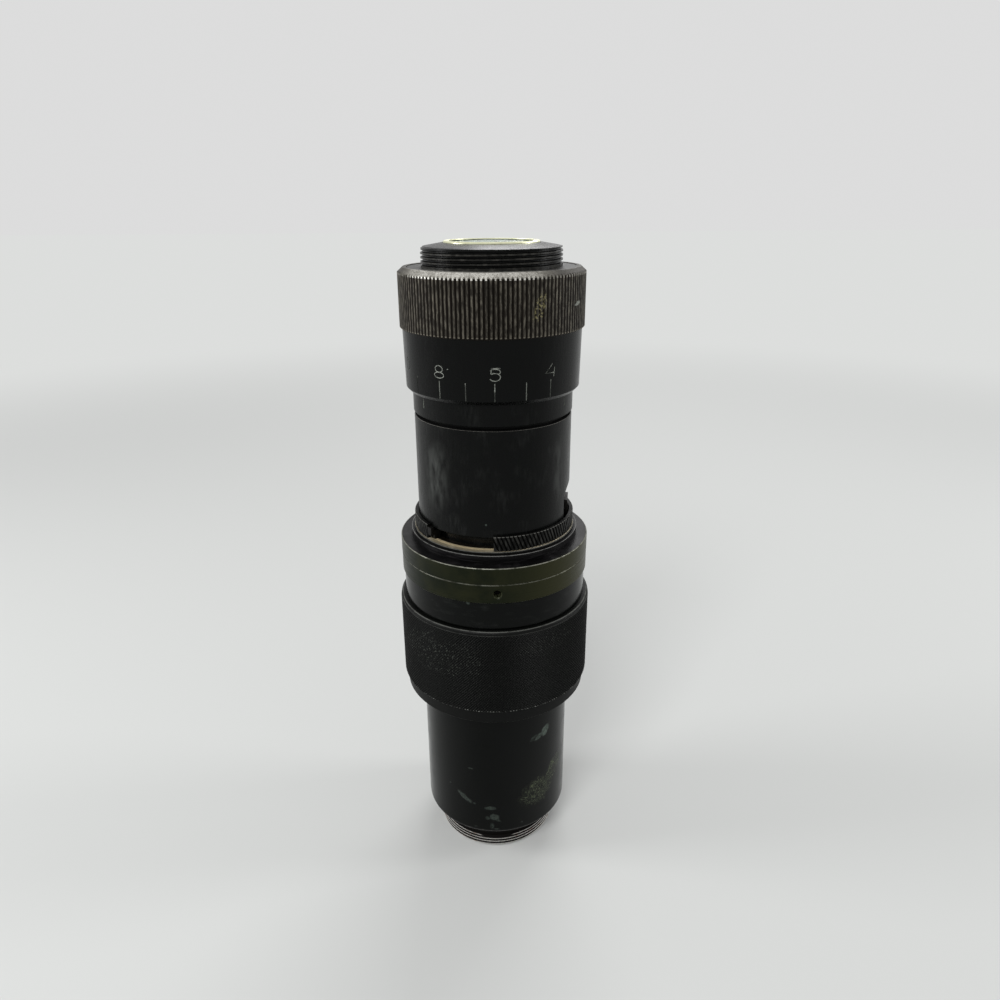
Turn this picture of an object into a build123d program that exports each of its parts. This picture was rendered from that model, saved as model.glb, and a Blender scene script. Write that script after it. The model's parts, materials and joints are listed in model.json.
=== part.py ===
from build123d import *
from math import cos, pi, radians, sin, tan
import os

# A variable-power microscope objective, standing on its lower thread.
# +Z runs up the optical axis, z = 0 is the lower end face and the front is -Y.
# Angles are in degrees from the front, counted towards +X.

# Fits and cuts
running_gap = 0.06
seat_gap = 0.02
end_gap = 0.10
overrun = 1.0

# Lower barrel
thread_radius = 13.0
thread_length = 2.9
thread_chamfer = 0.35
neck_step = 0.5
neck_length = 3.5
barrel_radius = 15.8
barrel_corner = 1.1
barrel_corner_most_share = 0.8
barrel_show_height = 32.4
barrel_thick_wall = 2.6
barrel_thin_wall = 1.6

# Rear lens group
rear_cell_wall = 1.3
rear_cell_depth = 9.6
rear_lip_width = 0.9
rear_lip_height = 1.6
rear_crown_edge = 2.6
rear_flint_edge = 2.0
rear_crown_sag = 0.6
rear_cement_sag = 0.9
rear_flint_sag = 0.35
rear_ring_height = 1.6
rear_ring_width = 1.2
lens_rim = 1.2
cement_gap = 0.02

# Focusing grip and the ring that holds it up
grip_height = 21.5
skirt_height = 3.0
skirt_wall = 0.7
skirt_foot_chamfer = 0.4
knurl_rise = 0.7
knurl_bevel = 0.35
grip_land_height = 0.75
grip_land_step = 0.15
grip_top_chamfer = 0.3
retainer_width = 2.68
retainer_height = 1.9
retainer_recess = 0.7

# Rings above the grip
band_height = 5.85
band_step = 1.15
clamp_ring_height = 3.89
clamp_ring_step = 0.8
flange_height = 3.46
flange_step = 0.76
flange_seat_height = 1.46
ring_chamfer = 0.15
collar_height = 1.55
collar_wall = 0.5
screw_angle = 2.0
screw_radius = 0.73
screw_length = 1.8
screw_mouth_step = 0.27
screw_slot_width = 0.3
screw_slot_depth = 0.4

# Brass bush with its stop and key
bush_rise = 2.1
bush_depth = 6.6
bush_wall = 0.7
bush_head_step = 0.45
lug_angle = -50.6
lug_width = 1.2
lug_height = 2.5
lug_foot_height = 1.8
lug_foot_inset = 1.35
lug_lift = 0.9
lug_pin_radius = 0.4
lug_pin_depth = 1.2
key_angle = 84.0
key_width = 4.6
key_thickness = 0.66
key_height = 5.5
key_seat_depth = 1.2
key_clearance = 0.04

# Lock ring
lock_rim_gap = 0.12
lock_rim_wall = 0.74
lock_rim_height = 2.9
lock_base_step = 0.22
lock_base_drop = 0.05
lock_window_turn = 53.4
lock_tooth_count = 128
lock_tooth_depth = 0.28
lock_tooth_half_angle = 35.0
lock_tooth_slant = 22.0
lock_chamfer = 0.14

# Focusing drive
focus_travel = 3.0
focus_turn = 120.0
focus_spare_turn = 3.0
carriage_length = 18.0
carriage_wall = 1.5
carriage_stop_gap = 0.4
carriage_floor_gap = 0.3
drive_pin_height = 4.4
drive_pin_radius = 1.5
drive_groove_depth = 1.94
drive_pin_angles = (90.0, 270.0)

# Main tube
foot_gap = 2.2
tube_step = 0.46
tube_height = 21.0
tube_chamfer = 0.14
tube_foot_chamfer = 0.3
tube_wall = 0.98
tube_spigot_length = 5.0
tube_spigot_wall = 1.2
tube_shelf_width = 0.74
tube_shelf_height = 3.6
notch_depth = 0.94
notch_width = 11.0
notch_height = 4.3
notch_cutter_radius = 4.8

# Relay lens and aperture stop, inside the neck of the main tube
relay_lip_drop = 5.9
relay_lip_width = 1.1
relay_lip_height = 1.4
relay_edge = 2.4
relay_sag = 0.8
relay_ring_height = 1.8
relay_ring_width = 1.1
stop_thickness = 0.6
stop_hole_radius = 5.2

# Head sleeve and index ring
head_seat_depth = 9.5
head_wall = 2.34
head_lip_width = 1.18
head_lip_height = 7.05
head_flange_step = 1.21
head_flange_height = 4.05
index_gap = 0.75
index_height = 5.75
index_step = 0.11
index_chamfer = 0.1

# Scale ring: number drum and straight-knurled grip in one piece
drum_lap = 1.6
drum_lip_wall = 0.47
drum_bevel_width = 0.65
drum_bevel_height = 0.7
drum_taper = 0.25
drum_height = 11.4
knurl_step = 0.45
knurl_height = 10.0
knurl_count = 135
knurl_depth = 0.36
knurl_crest_share = 0.36
knurl_foot_bevel = 0.3
scale_top_height = 0.85
scale_top_step = 0.95
scale_top_gap = 0.1

# Power-change drive and lens carrier
power_travel = 8.0
power_turn = 165.0
power_spare_turn = 4.0
carrier_pin_rise = 2.6
carrier_pin_radius = 1.2
carrier_pin_angle = 90.0
power_groove_depth = 1.2
groove_end_gap = 0.15
carrier_length = 13.4
carrier_head_length = 1.9
carrier_wall = 1.54
carrier_lip_drop = 6.6
carrier_lip_width = 1.0
carrier_lip_height = 1.2
carrier_lens_edge = 2.2
carrier_lens_sag = 0.7
carrier_ring_height = 1.6
carrier_ring_width = 1.1

# Front collar and lens group
collar_thread_length = 3.45
collar_top_chamfer = 0.3
collar_cone_rise = 0.3
collar_spigot_length = 5.2
collar_cell_wall = 2.2
collar_lip_width = 1.0
cell_height = 6.45
cell_rim_height = 1.05
cell_rim_step = 0.27
cell_rim_chamfer = 0.2
cell_wall = 0.38
cell_lip_width = 1.0
cell_lip_height = 1.4
front_ring_height = 0.3
front_ring_width = 0.43
front_ring_drop = 0.05
front_flint_share = 0.42
front_crown_sag = 0.33
front_cement_sag = 0.9
front_flint_sag = 0.3

# Heights up the stack
barrel_bottom_z = thread_length + neck_length
grip_bottom_z = barrel_bottom_z + barrel_show_height
grip_top_z = grip_bottom_z + grip_height
band_bottom_z = grip_top_z + end_gap
clamp_ring_bottom_z = band_bottom_z + band_height
flange_bottom_z = clamp_ring_bottom_z + clamp_ring_height
flange_top_z = flange_bottom_z + flange_height
barrel_top_z = flange_bottom_z + flange_seat_height
bush_top_z = flange_top_z + bush_rise
bush_bottom_z = barrel_top_z - bush_depth
carriage_top_z = bush_bottom_z - focus_travel - carriage_stop_gap
carriage_bottom_z = carriage_top_z - carriage_length
carriage_floor_z = carriage_bottom_z - carriage_floor_gap
drive_pin_z = carriage_bottom_z + drive_pin_height
tube_foot_z = bush_top_z + foot_gap
tube_top_z = tube_foot_z + tube_height
relay_lip_z = tube_foot_z - relay_lip_drop
head_bottom_z = tube_top_z - head_seat_depth
index_bottom_z = tube_top_z + index_gap
index_top_z = index_bottom_z + index_height
drum_bottom_z = index_top_z - drum_lap
knurl_bottom_z = drum_bottom_z + drum_height
knurl_top_z = knurl_bottom_z + knurl_height
scale_top_z = knurl_top_z + scale_top_height
head_top_z = scale_top_z - scale_top_gap
head_flange_z = head_top_z - head_flange_height
head_lip_z = head_top_z - head_lip_height
carrier_pin_z = index_top_z + carrier_pin_rise
carrier_top_z = carrier_pin_z + carrier_head_length
carrier_bottom_z = carrier_top_z - carrier_length
carrier_lip_z = carrier_top_z - carrier_lip_drop
collar_top_z = head_top_z + collar_thread_length
cell_top_z = collar_top_z + cell_rim_height
cell_bottom_z = cell_top_z - cell_height

# Radii, from the barrel inwards and outwards
neck_radius = thread_radius - neck_step
rear_cell_radius = neck_radius - rear_cell_wall
barrel_bore_radius = barrel_radius - barrel_thick_wall
carriage_bore_radius = barrel_radius - barrel_thin_wall
carriage_radius = carriage_bore_radius - running_gap
spigot_bore_radius = carriage_radius - carriage_wall
bush_bore_radius = carriage_bore_radius - bush_wall
bush_head_radius = barrel_radius - bush_head_step
tube_neck_radius = bush_bore_radius - running_gap
tube_spigot_radius = spigot_bore_radius - seat_gap
tube_bore_radius = tube_spigot_radius - tube_spigot_wall
tube_radius = barrel_radius - tube_step
head_radius = tube_radius - tube_wall - seat_gap
head_bore_radius = head_radius - head_wall
head_lip_radius = head_bore_radius - head_lip_width
head_flange_radius = head_radius + head_flange_step
carrier_radius = head_bore_radius - running_gap
carrier_bore_radius = carrier_radius - carrier_wall
index_radius = tube_radius + index_step
collar_spigot_radius = head_lip_radius - seat_gap
cell_seat_radius = collar_spigot_radius - collar_cell_wall
cell_radius = cell_seat_radius - seat_gap
cell_rim_radius = cell_radius + cell_rim_step
cell_bore_radius = cell_radius - cell_wall
grip_bore_radius = barrel_radius + running_gap
retainer_radius = barrel_radius + seat_gap + retainer_width
skirt_bore_radius = retainer_radius + end_gap
skirt_radius = skirt_bore_radius + skirt_wall
grip_radius = skirt_radius + knurl_rise
lock_rim_bore_radius = tube_radius + lock_rim_gap
lock_rim_radius = lock_rim_bore_radius + lock_rim_wall
lock_base_radius = lock_rim_radius + lock_base_step
collar_bore_radius = lock_base_radius + running_gap
scale_bore_radius = head_radius + running_gap
drum_lip_radius = index_radius + running_gap + drum_lip_wall
drum_bottom_radius = drum_lip_radius + drum_bevel_width
drum_top_radius = drum_bottom_radius + drum_taper
knurl_radius = drum_top_radius + knurl_step
scale_top_radius = knurl_radius - scale_top_step
scale_mouth_radius = max(head_flange_radius, thread_radius) + running_gap


def turned(points, rounded=None, corner=0):
    """A solid turned about the optical axis from its half section, with one corner rounded if asked."""
    section = make_face(Polyline([(r, 0, z) for r, z in points], close=True))
    if rounded:
        nearest = section.vertices().sort_by_distance(Vector(rounded[0], 0, rounded[1]))
        section = section.face().fillet_2d(corner, nearest[:1])
    return revolve(section, Axis.Z)


def ring(inner, outer, bottom, top, chamfer=0):
    """A plain ring whose two outer edges may be broken."""
    outside = [(outer, bottom), (outer, top)]
    if chamfer:
        outside = [
            (outer - chamfer, bottom),
            (outer, bottom + chamfer),
            (outer, top - chamfer),
            (outer - chamfer, top),
        ]
    return turned([(inner, bottom)] + outside + [(inner, top)])


def lens(radius, bottom, top, bottom_sag, top_sag, bottom_rim=0, top_rim=0):
    """A glass with spherical faces and flat rims: a positive sag bulges out, a negative one is hollow."""
    low_clear = radius - bottom_rim
    high_clear = radius - top_rim
    low_pole = (0, 0, bottom - bottom_sag)
    high_pole = (0, 0, top + top_sag)
    edges = [
        TangentArc(low_pole, (low_clear, 0, bottom), tangent=(1, 0, 0)),
        TangentArc(high_pole, (high_clear, 0, top), tangent=(1, 0, 0)),
        Line((radius, 0, bottom), (radius, 0, top)),
        Line(low_pole, high_pole),
    ]
    if bottom_rim:
        edges.append(Line((low_clear, 0, bottom), (radius, 0, bottom)))
    if top_rim:
        edges.append(Line((high_clear, 0, top), (radius, 0, top)))
    return revolve(make_face(edges), Axis.Z)


def at_angle(angle):
    """Carries what is built on the front, at -Y, round the axis."""
    return Rot(0, 0, angle)


def block(width, inner, outer, bottom, top, angle):
    """A rectangular block between two radii."""
    middle = (inner + outer) / 2
    box = Pos(0, -middle, (bottom + top) / 2) * Box(width, outer - inner, top - bottom)
    return at_angle(angle) * box


def radial_pin(radius, inner, outer, z, angle):
    """A round pin that lies along a radius."""
    middle = (inner + outer) / 2
    pin = Pos(0, -middle, z) * Rot(90, 0, 0) * Cylinder(radius, outer - inner)
    return at_angle(angle) * pin


def straight_slot(half_width, inner, outer, low, high, angle):
    """A slot with round ends that guides a pin along the axis."""
    slot = block(2 * half_width, inner, outer, low, high, angle)
    slot += radial_pin(half_width, inner, outer, low, angle)
    return slot + radial_pin(half_width, inner, outer, high, angle)


def cam_groove(half_width, inner, outer, rest_z, rise, turn, spare, angle):
    """The cutters of a helical groove, whose turn lifts a pin that a straight slot keeps from turning."""
    lead = rise * 360 / turn
    low = rest_z - lead * spare / 360
    high = rest_z + rise + lead * spare / 360
    path = Helix(lead, high - low, (inner + outer) / 2, lefthand=True)
    across = Plane(path @ 0, x_dir=(1, 0, 0), z_dir=path % 0)
    groove = sweep(across * Rectangle(outer - inner, 2 * half_width), path, is_frenet=True)
    groove = Pos(0, 0, low) * at_angle(angle + spare - 90) * groove
    first_end = radial_pin(half_width, inner, outer, low, angle + spare)
    last_end = radial_pin(half_width, inner, outer, high, angle - turn - spare)
    return groove, first_end, last_end


def make_lower_barrel():
    """Threaded foot, undercut neck and barrel, running up as a thin sleeve inside the grip."""
    lip_radius = rear_cell_radius - rear_lip_width
    lip_top_z = rear_cell_depth + rear_lip_height
    barrel = turned(
        [
            (rear_cell_radius, 0),
            (thread_radius - thread_chamfer, 0),
            (thread_radius, thread_chamfer),
            (thread_radius, thread_length),
            (neck_radius, thread_length),
            (neck_radius, barrel_bottom_z),
            (barrel_radius, barrel_bottom_z),
            (barrel_radius, barrel_top_z),
            (carriage_bore_radius, barrel_top_z),
            (carriage_bore_radius, carriage_floor_z),
            (barrel_bore_radius, carriage_floor_z),
            (barrel_bore_radius, lip_top_z),
            (lip_radius, lip_top_z),
            (lip_radius, rear_cell_depth),
            (rear_cell_radius, rear_cell_depth),
        ],
        rounded=(barrel_radius, barrel_bottom_z),
        corner=min(barrel_corner, barrel_corner_most_share * (barrel_radius - neck_radius)),
    )
    for angle in drive_pin_angles:
        barrel -= straight_slot(
            drive_pin_radius + running_gap,
            spigot_bore_radius,
            barrel_radius + overrun,
            drive_pin_z - end_gap,
            drive_pin_z + focus_travel + end_gap,
            angle,
        )
    return barrel


def make_rear_group():
    """A cemented doublet held up against its lip by a threaded ring."""
    radius = rear_cell_radius - seat_gap
    joint_z = rear_cell_depth - rear_crown_edge
    flint_top_z = joint_z - cement_gap
    flint_bottom_z = flint_top_z - rear_flint_edge
    crown = lens(radius, joint_z, rear_cell_depth, rear_cement_sag, rear_crown_sag, 0, lens_rim)
    flint = lens(radius, flint_bottom_z, flint_top_z, rear_flint_sag, -rear_cement_sag, lens_rim, 0)
    holder = ring(radius - rear_ring_width, radius, flint_bottom_z - rear_ring_height, flint_bottom_z)
    return crown, flint, holder


def make_focus_grip():
    """The knurled focusing grip with its smooth skirt and the cam grooves in its bore."""
    roof_z = grip_bottom_z + retainer_recess + retainer_height + end_gap
    skirt_top_z = grip_bottom_z + skirt_height
    land_bottom_z = grip_top_z - grip_land_height
    land_radius = grip_radius - grip_land_step
    grip = turned([
        (skirt_bore_radius, grip_bottom_z),
        (skirt_radius - skirt_foot_chamfer, grip_bottom_z),
        (skirt_radius, grip_bottom_z + skirt_foot_chamfer),
        (skirt_radius, skirt_top_z),
        (grip_radius - knurl_bevel, skirt_top_z),
        (grip_radius, skirt_top_z + knurl_bevel),
        (grip_radius, land_bottom_z - grip_land_step),
        (land_radius, land_bottom_z),
        (land_radius, grip_top_z - grip_top_chamfer),
        (land_radius - grip_top_chamfer, grip_top_z),
        (grip_bore_radius, grip_top_z),
        (grip_bore_radius, roof_z),
        (skirt_bore_radius, roof_z),
    ])
    for angle in drive_pin_angles:
        for cutter in cam_groove(
            drive_pin_radius + running_gap,
            grip_bore_radius - overrun,
            grip_bore_radius + drive_groove_depth,
            drive_pin_z,
            focus_travel,
            focus_turn,
            focus_spare_turn,
            angle,
        ):
            grip -= cutter
    return grip


def make_grip_retainer():
    """The ring on the barrel, hidden in the skirt, that carries the grip."""
    bottom = grip_bottom_z + retainer_recess
    return ring(barrel_radius + seat_gap, retainer_radius, bottom, bottom + retainer_height)


def make_black_band():
    """The glossy band that closes the grip from above."""
    radius = grip_radius - band_step
    return ring(barrel_radius + seat_gap, radius, band_bottom_z, clamp_ring_bottom_z, ring_chamfer)


def make_clamp_ring():
    """The lower olive ring with its tapped hole at the front."""
    radius = grip_radius - clamp_ring_step
    middle_z = (clamp_ring_bottom_z + flange_bottom_z) / 2
    clamp_ring = ring(
        barrel_radius + seat_gap, radius, clamp_ring_bottom_z, flange_bottom_z, ring_chamfer
    )
    hole_radius = screw_radius + seat_gap
    clamp_ring -= radial_pin(hole_radius, tube_radius, radius + overrun, middle_z, screw_angle)
    mouth = Cone(hole_radius, hole_radius + 2 * screw_mouth_step, 2 * screw_mouth_step)
    clamp_ring -= at_angle(screw_angle) * Pos(0, -radius, middle_z) * Rot(90, 0, 0) * mouth
    return clamp_ring


def make_set_screw():
    """The slotted grub screw seated at the bottom of that hole."""
    inner = barrel_radius + seat_gap
    outer = inner + screw_length
    middle_z = (clamp_ring_bottom_z + flange_bottom_z) / 2
    screw = radial_pin(screw_radius, inner, outer, middle_z, screw_angle)
    slot_top_z = middle_z + screw_slot_width / 2
    slot_bottom_z = middle_z - screw_slot_width / 2
    return screw - block(
        4 * screw_radius,
        outer - screw_slot_depth,
        outer + overrun,
        slot_bottom_z,
        slot_top_z,
        screw_angle,
    )


def make_top_flange():
    """The upper olive ring, with the low collar round the lock ring."""
    radius = grip_radius - flange_step
    bush_seat_radius = bush_head_radius + seat_gap
    return turned([
        (barrel_radius + seat_gap, flange_bottom_z),
        (radius - ring_chamfer, flange_bottom_z),
        (radius, flange_bottom_z + ring_chamfer),
        (radius, flange_top_z - ring_chamfer),
        (radius - ring_chamfer, flange_top_z),
        (collar_bore_radius + collar_wall, flange_top_z),
        (collar_bore_radius + collar_wall, flange_top_z + collar_height),
        (collar_bore_radius, flange_top_z + collar_height),
        (collar_bore_radius, flange_top_z),
        (bush_seat_radius, flange_top_z),
        (bush_seat_radius, barrel_top_z),
        (barrel_radius + seat_gap, barrel_top_z),
    ])


def lug_pin_place(depth):
    """Where the stop's pin stands in the top of the bush."""
    middle = (bush_bore_radius + bush_head_radius) / 2
    return at_angle(lug_angle) * Pos(0, -middle, bush_top_z - depth / 2)


def make_guide_bush():
    """The brass bush that guides the tube: its top is the bright ledge in the lock ring's window."""
    seat_radius = carriage_bore_radius - seat_gap
    bush = turned([
        (bush_bore_radius, bush_bottom_z),
        (seat_radius, bush_bottom_z),
        (seat_radius, barrel_top_z),
        (bush_head_radius, barrel_top_z),
        (bush_head_radius, bush_top_z),
        (bush_bore_radius, bush_top_z),
    ])
    inner, _ = key_radii()
    bush -= block(
        key_width + 2 * seat_gap,
        inner - seat_gap,
        bush_head_radius + overrun,
        bush_top_z - key_seat_depth,
        bush_top_z + overrun,
        key_angle,
    )
    hole = Cylinder(lug_pin_radius + seat_gap, lug_pin_depth)
    return bush - lug_pin_place(lug_pin_depth) * hole


def key_radii():
    """The inner and outer face of the key, which lies along the flat of the tube."""
    inner = tube_radius - notch_depth + key_clearance
    return inner, inner + key_thickness


def make_guide_key():
    """The flat key that stands in the bush and keeps the tube from turning, inside the lock ring."""
    inner, outer = key_radii()
    bottom = bush_top_z - key_seat_depth
    top = bush_top_z + key_height
    key = block(key_width, inner, outer, bottom, top, key_angle)
    return key & Pos(0, 0, (bottom + top) / 2) * Cylinder(bush_head_radius, top - bottom)


def make_stop_lug():
    """The dark stop in the lock ring's window."""
    inner = bush_head_radius - lug_foot_inset
    foot_top_z = bush_top_z + lug_foot_height
    foot = block(lug_width, inner, bush_head_radius, bush_top_z, foot_top_z, lug_angle)
    arm = block(lug_width, inner, lock_rim_radius, bush_top_z + lug_lift, foot_top_z, lug_angle)
    post = block(
        lug_width,
        lock_rim_bore_radius,
        lock_rim_radius,
        bush_top_z + lug_lift,
        bush_top_z + lug_height,
        lug_angle,
    )
    pin_depth = lug_pin_depth - end_gap
    pin = lug_pin_place(pin_depth) * Cylinder(lug_pin_radius, pin_depth)
    return foot + arm + post + pin


def make_lock_ring():
    """The slant-knurled lock ring, with the window milled out of its rim."""
    bottom = flange_top_z + end_gap
    base_top_z = bush_top_z - lock_base_drop
    rim_top_z = bush_top_z + lock_rim_height
    lock = turned([
        (bush_head_radius + running_gap, bottom),
        (lock_base_radius, bottom),
        (lock_base_radius, base_top_z),
        (lock_rim_radius, base_top_z),
        (lock_rim_radius, rim_top_z - lock_chamfer),
        (lock_rim_radius - lock_chamfer, rim_top_z),
        (lock_rim_bore_radius, rim_top_z),
        (lock_rim_bore_radius, base_top_z),
        (bush_head_radius + running_gap, base_top_z),
    ])
    pitch = 360 / lock_tooth_count
    tooth_half_width = lock_tooth_depth * tan(radians(lock_tooth_half_angle))
    mouth_share = (lock_tooth_depth + end_gap) / lock_tooth_depth
    vee = Polyline(
        (0, lock_rim_radius - lock_tooth_depth),
        (tooth_half_width * mouth_share, lock_rim_radius + end_gap),
        (-tooth_half_width * mouth_share, lock_rim_radius + end_gap),
        close=True,
    )
    cut_height = 2 * lock_rim_height
    cutter = extrude(make_face(vee), cut_height / 2, both=True)
    middle_z = (base_top_z + rim_top_z) / 2
    slanted = Rot(0, -lock_tooth_slant, 0) * Rot(0, 0, 180) * cutter
    rim_only = ring(
        lock_rim_bore_radius, lock_base_radius + overrun, base_top_z, rim_top_z + overrun
    )
    kept_turn = 360 - lock_window_turn
    teeth = [
        at_angle((n + 0.5) * pitch) * Pos(0, 0, middle_z) * slanted & rim_only
        for n in range(int(kept_turn / pitch))
    ]
    lock -= teeth
    window = make_face(Polyline(
        [
            (lock_rim_bore_radius - overrun, 0, base_top_z),
            (lock_rim_radius + overrun, 0, base_top_z),
            (lock_rim_radius + overrun, 0, rim_top_z + overrun),
            (lock_rim_bore_radius - overrun, 0, rim_top_z + overrun),
        ],
        close=True,
    ))
    sector = revolve(window, Axis.Z, revolution_arc=lock_window_turn)
    return lock - at_angle(-90 - lock_window_turn) * sector


def make_focus_carriage():
    """The sleeve that slides in the barrel and carries the whole upper tube."""
    carriage = ring(spigot_bore_radius, carriage_radius, carriage_bottom_z, carriage_top_z)
    for angle in drive_pin_angles:
        carriage -= radial_pin(
            drive_pin_radius + seat_gap,
            spigot_bore_radius - overrun,
            carriage_radius + overrun,
            drive_pin_z,
            angle,
        )
    return carriage


def make_drive_pins():
    """The two pins that reach from the carriage through the barrel's slots into the grip."""
    tip = grip_bore_radius + drive_groove_depth - groove_end_gap
    pins = [
        radial_pin(drive_pin_radius, spigot_bore_radius + end_gap, tip, drive_pin_z, angle)
        for angle in drive_pin_angles
    ]
    return Compound(children=pins)


def make_main_tube():
    """The long black tube with its milled flat, its guided neck and the spigot in the carriage."""
    lip_radius = tube_bore_radius - relay_lip_width
    shelf_z = head_bottom_z - tube_shelf_height
    head_seat_radius = head_radius + seat_gap
    shelf_radius = head_seat_radius - tube_shelf_width
    tube = turned([
        (tube_bore_radius, carriage_top_z - tube_spigot_length),
        (tube_spigot_radius, carriage_top_z - tube_spigot_length),
        (tube_spigot_radius, carriage_top_z),
        (tube_neck_radius, carriage_top_z),
        (tube_neck_radius, tube_foot_z),
        (tube_radius - tube_foot_chamfer, tube_foot_z),
        (tube_radius, tube_foot_z + tube_foot_chamfer),
        (tube_radius, tube_top_z - tube_chamfer),
        (tube_radius - tube_chamfer, tube_top_z),
        (head_seat_radius, tube_top_z),
        (head_seat_radius, head_bottom_z),
        (shelf_radius, head_bottom_z),
        (shelf_radius, shelf_z),
        (tube_bore_radius, shelf_z),
        (tube_bore_radius, relay_lip_z + relay_lip_height),
        (lip_radius, relay_lip_z + relay_lip_height),
        (lip_radius, relay_lip_z),
        (tube_bore_radius, relay_lip_z),
    ])
    floor = tube_radius - notch_depth
    full_top_z = tube_foot_z + notch_height
    outside = tube_radius + overrun
    notch = block(notch_width, floor, outside, tube_foot_z - overrun, full_top_z, key_angle)
    cutter = Rot(0, 90, 0) * Cylinder(notch_cutter_radius, notch_width)
    run_out = at_angle(key_angle) * Pos(0, -floor - notch_cutter_radius, full_top_z) * cutter
    return tube - notch - run_out


def make_relay_lens():
    """The single lens in the tube's neck, seated below its lip."""
    radius = tube_bore_radius - seat_gap
    bottom = relay_lip_z - relay_edge
    return lens(radius, bottom, relay_lip_z, relay_sag, relay_sag, lens_rim, lens_rim)


def make_relay_lens_ring():
    """The threaded ring that holds the relay lens up."""
    radius = tube_bore_radius - seat_gap
    top = relay_lip_z - relay_edge
    return ring(radius - relay_ring_width, radius, top - relay_ring_height, top)


def make_aperture_stop():
    """The thin blackened disc on the upper side of the lip."""
    bottom = relay_lip_z + relay_lip_height
    return ring(stop_hole_radius, tube_bore_radius - seat_gap, bottom, bottom + stop_thickness)


def make_head_sleeve():
    """The fixed sleeve that the scale ring turns on and the lens carrier slides in."""
    sleeve = turned([
        (head_bore_radius, head_bottom_z),
        (head_radius, head_bottom_z),
        (head_radius, head_flange_z),
        (head_flange_radius, head_flange_z),
        (head_flange_radius, head_top_z),
        (head_lip_radius, head_top_z),
        (head_lip_radius, head_lip_z),
        (head_bore_radius, head_lip_z),
    ])
    return sleeve - straight_slot(
        carrier_pin_radius + running_gap,
        carrier_bore_radius,
        head_radius + overrun,
        carrier_pin_z - end_gap,
        carrier_pin_z + power_travel + end_gap,
        carrier_pin_angle,
    )


def make_index_ring():
    """The narrow ring with the index lines, which also carries the scale ring."""
    return ring(head_radius + seat_gap, index_radius, index_bottom_z, index_top_z, index_chamfer)


def knurled_band():
    """A short bar with flat-crested vee teeth all round, for the straight knurl."""
    pitch = 2 * pi / knurl_count
    root_radius = knurl_radius - knurl_depth
    outline = []
    for n in range(knurl_count):
        for share, radius in (
            (-knurl_crest_share / 2, knurl_radius),
            (knurl_crest_share / 2, knurl_radius),
            (knurl_crest_share + (1 - 2 * knurl_crest_share) / 2, root_radius),
        ):
            angle = (n + share) * pitch
            outline.append((radius * sin(angle), -radius * cos(angle)))
    band = extrude(make_face(Polyline(outline, close=True)), knurl_height + scale_top_height)
    return Pos(0, 0, knurl_bottom_z) * band


def make_scale_ring():
    """Number drum and straight-knurled grip, turned in one piece, with a cam groove in the bore."""
    step_z = index_top_z + end_gap
    shoulder_z = head_flange_z - end_gap
    blank = turned([
        (index_radius + running_gap, drum_bottom_z),
        (drum_lip_radius, drum_bottom_z),
        (drum_bottom_radius, drum_bottom_z + drum_bevel_height),
        (drum_top_radius, knurl_bottom_z),
        (knurl_radius - knurl_depth, knurl_bottom_z),
        (knurl_radius, knurl_bottom_z + knurl_foot_bevel),
        (knurl_radius, knurl_top_z),
        (scale_top_radius, scale_top_z),
        (scale_mouth_radius, scale_top_z),
        (scale_mouth_radius, shoulder_z),
        (scale_bore_radius, shoulder_z),
        (scale_bore_radius, step_z),
        (index_radius + running_gap, step_z),
    ])
    drum_zone = ring(
        tube_neck_radius, knurl_radius + overrun, drum_bottom_z - overrun, knurl_bottom_z
    )
    scale = (blank & knurled_band()) + (blank & drum_zone)
    for cutter in cam_groove(
        carrier_pin_radius + running_gap,
        scale_bore_radius - overrun,
        scale_bore_radius + power_groove_depth,
        carrier_pin_z,
        power_travel,
        power_turn,
        power_spare_turn,
        carrier_pin_angle,
    ):
        scale -= cutter
    return scale


def make_lens_carrier():
    """The sliding carrier of the power-change lens."""
    lip_radius = carrier_bore_radius - carrier_lip_width
    lip_top_z = carrier_lip_z + carrier_lip_height
    carrier = turned([
        (carrier_bore_radius, carrier_bottom_z),
        (carrier_radius, carrier_bottom_z),
        (carrier_radius, carrier_top_z),
        (carrier_bore_radius, carrier_top_z),
        (carrier_bore_radius, lip_top_z),
        (lip_radius, lip_top_z),
        (lip_radius, carrier_lip_z),
        (carrier_bore_radius, carrier_lip_z),
    ])
    return carrier - radial_pin(
        carrier_pin_radius + seat_gap,
        carrier_bore_radius - end_gap,
        carrier_radius + overrun,
        carrier_pin_z,
        carrier_pin_angle,
    )


def make_carrier_pin():
    """The pin from the carrier through the head sleeve's slot into the scale ring."""
    tip = scale_bore_radius + power_groove_depth - groove_end_gap
    inner = carrier_bore_radius + end_gap
    return radial_pin(carrier_pin_radius, inner, tip, carrier_pin_z, carrier_pin_angle)


def make_carrier_lens():
    """The power-change lens, seated below the carrier's lip."""
    radius = carrier_bore_radius - seat_gap
    bottom = carrier_lip_z - carrier_lens_edge
    return lens(radius, bottom, carrier_lip_z, -carrier_lens_sag, carrier_lens_sag, lens_rim, lens_rim)


def make_carrier_lens_ring():
    """The threaded ring below the power-change lens."""
    radius = carrier_bore_radius - seat_gap
    top = carrier_lip_z - carrier_lens_edge
    return ring(radius - carrier_ring_width, radius, top - carrier_ring_height, top)


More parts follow.
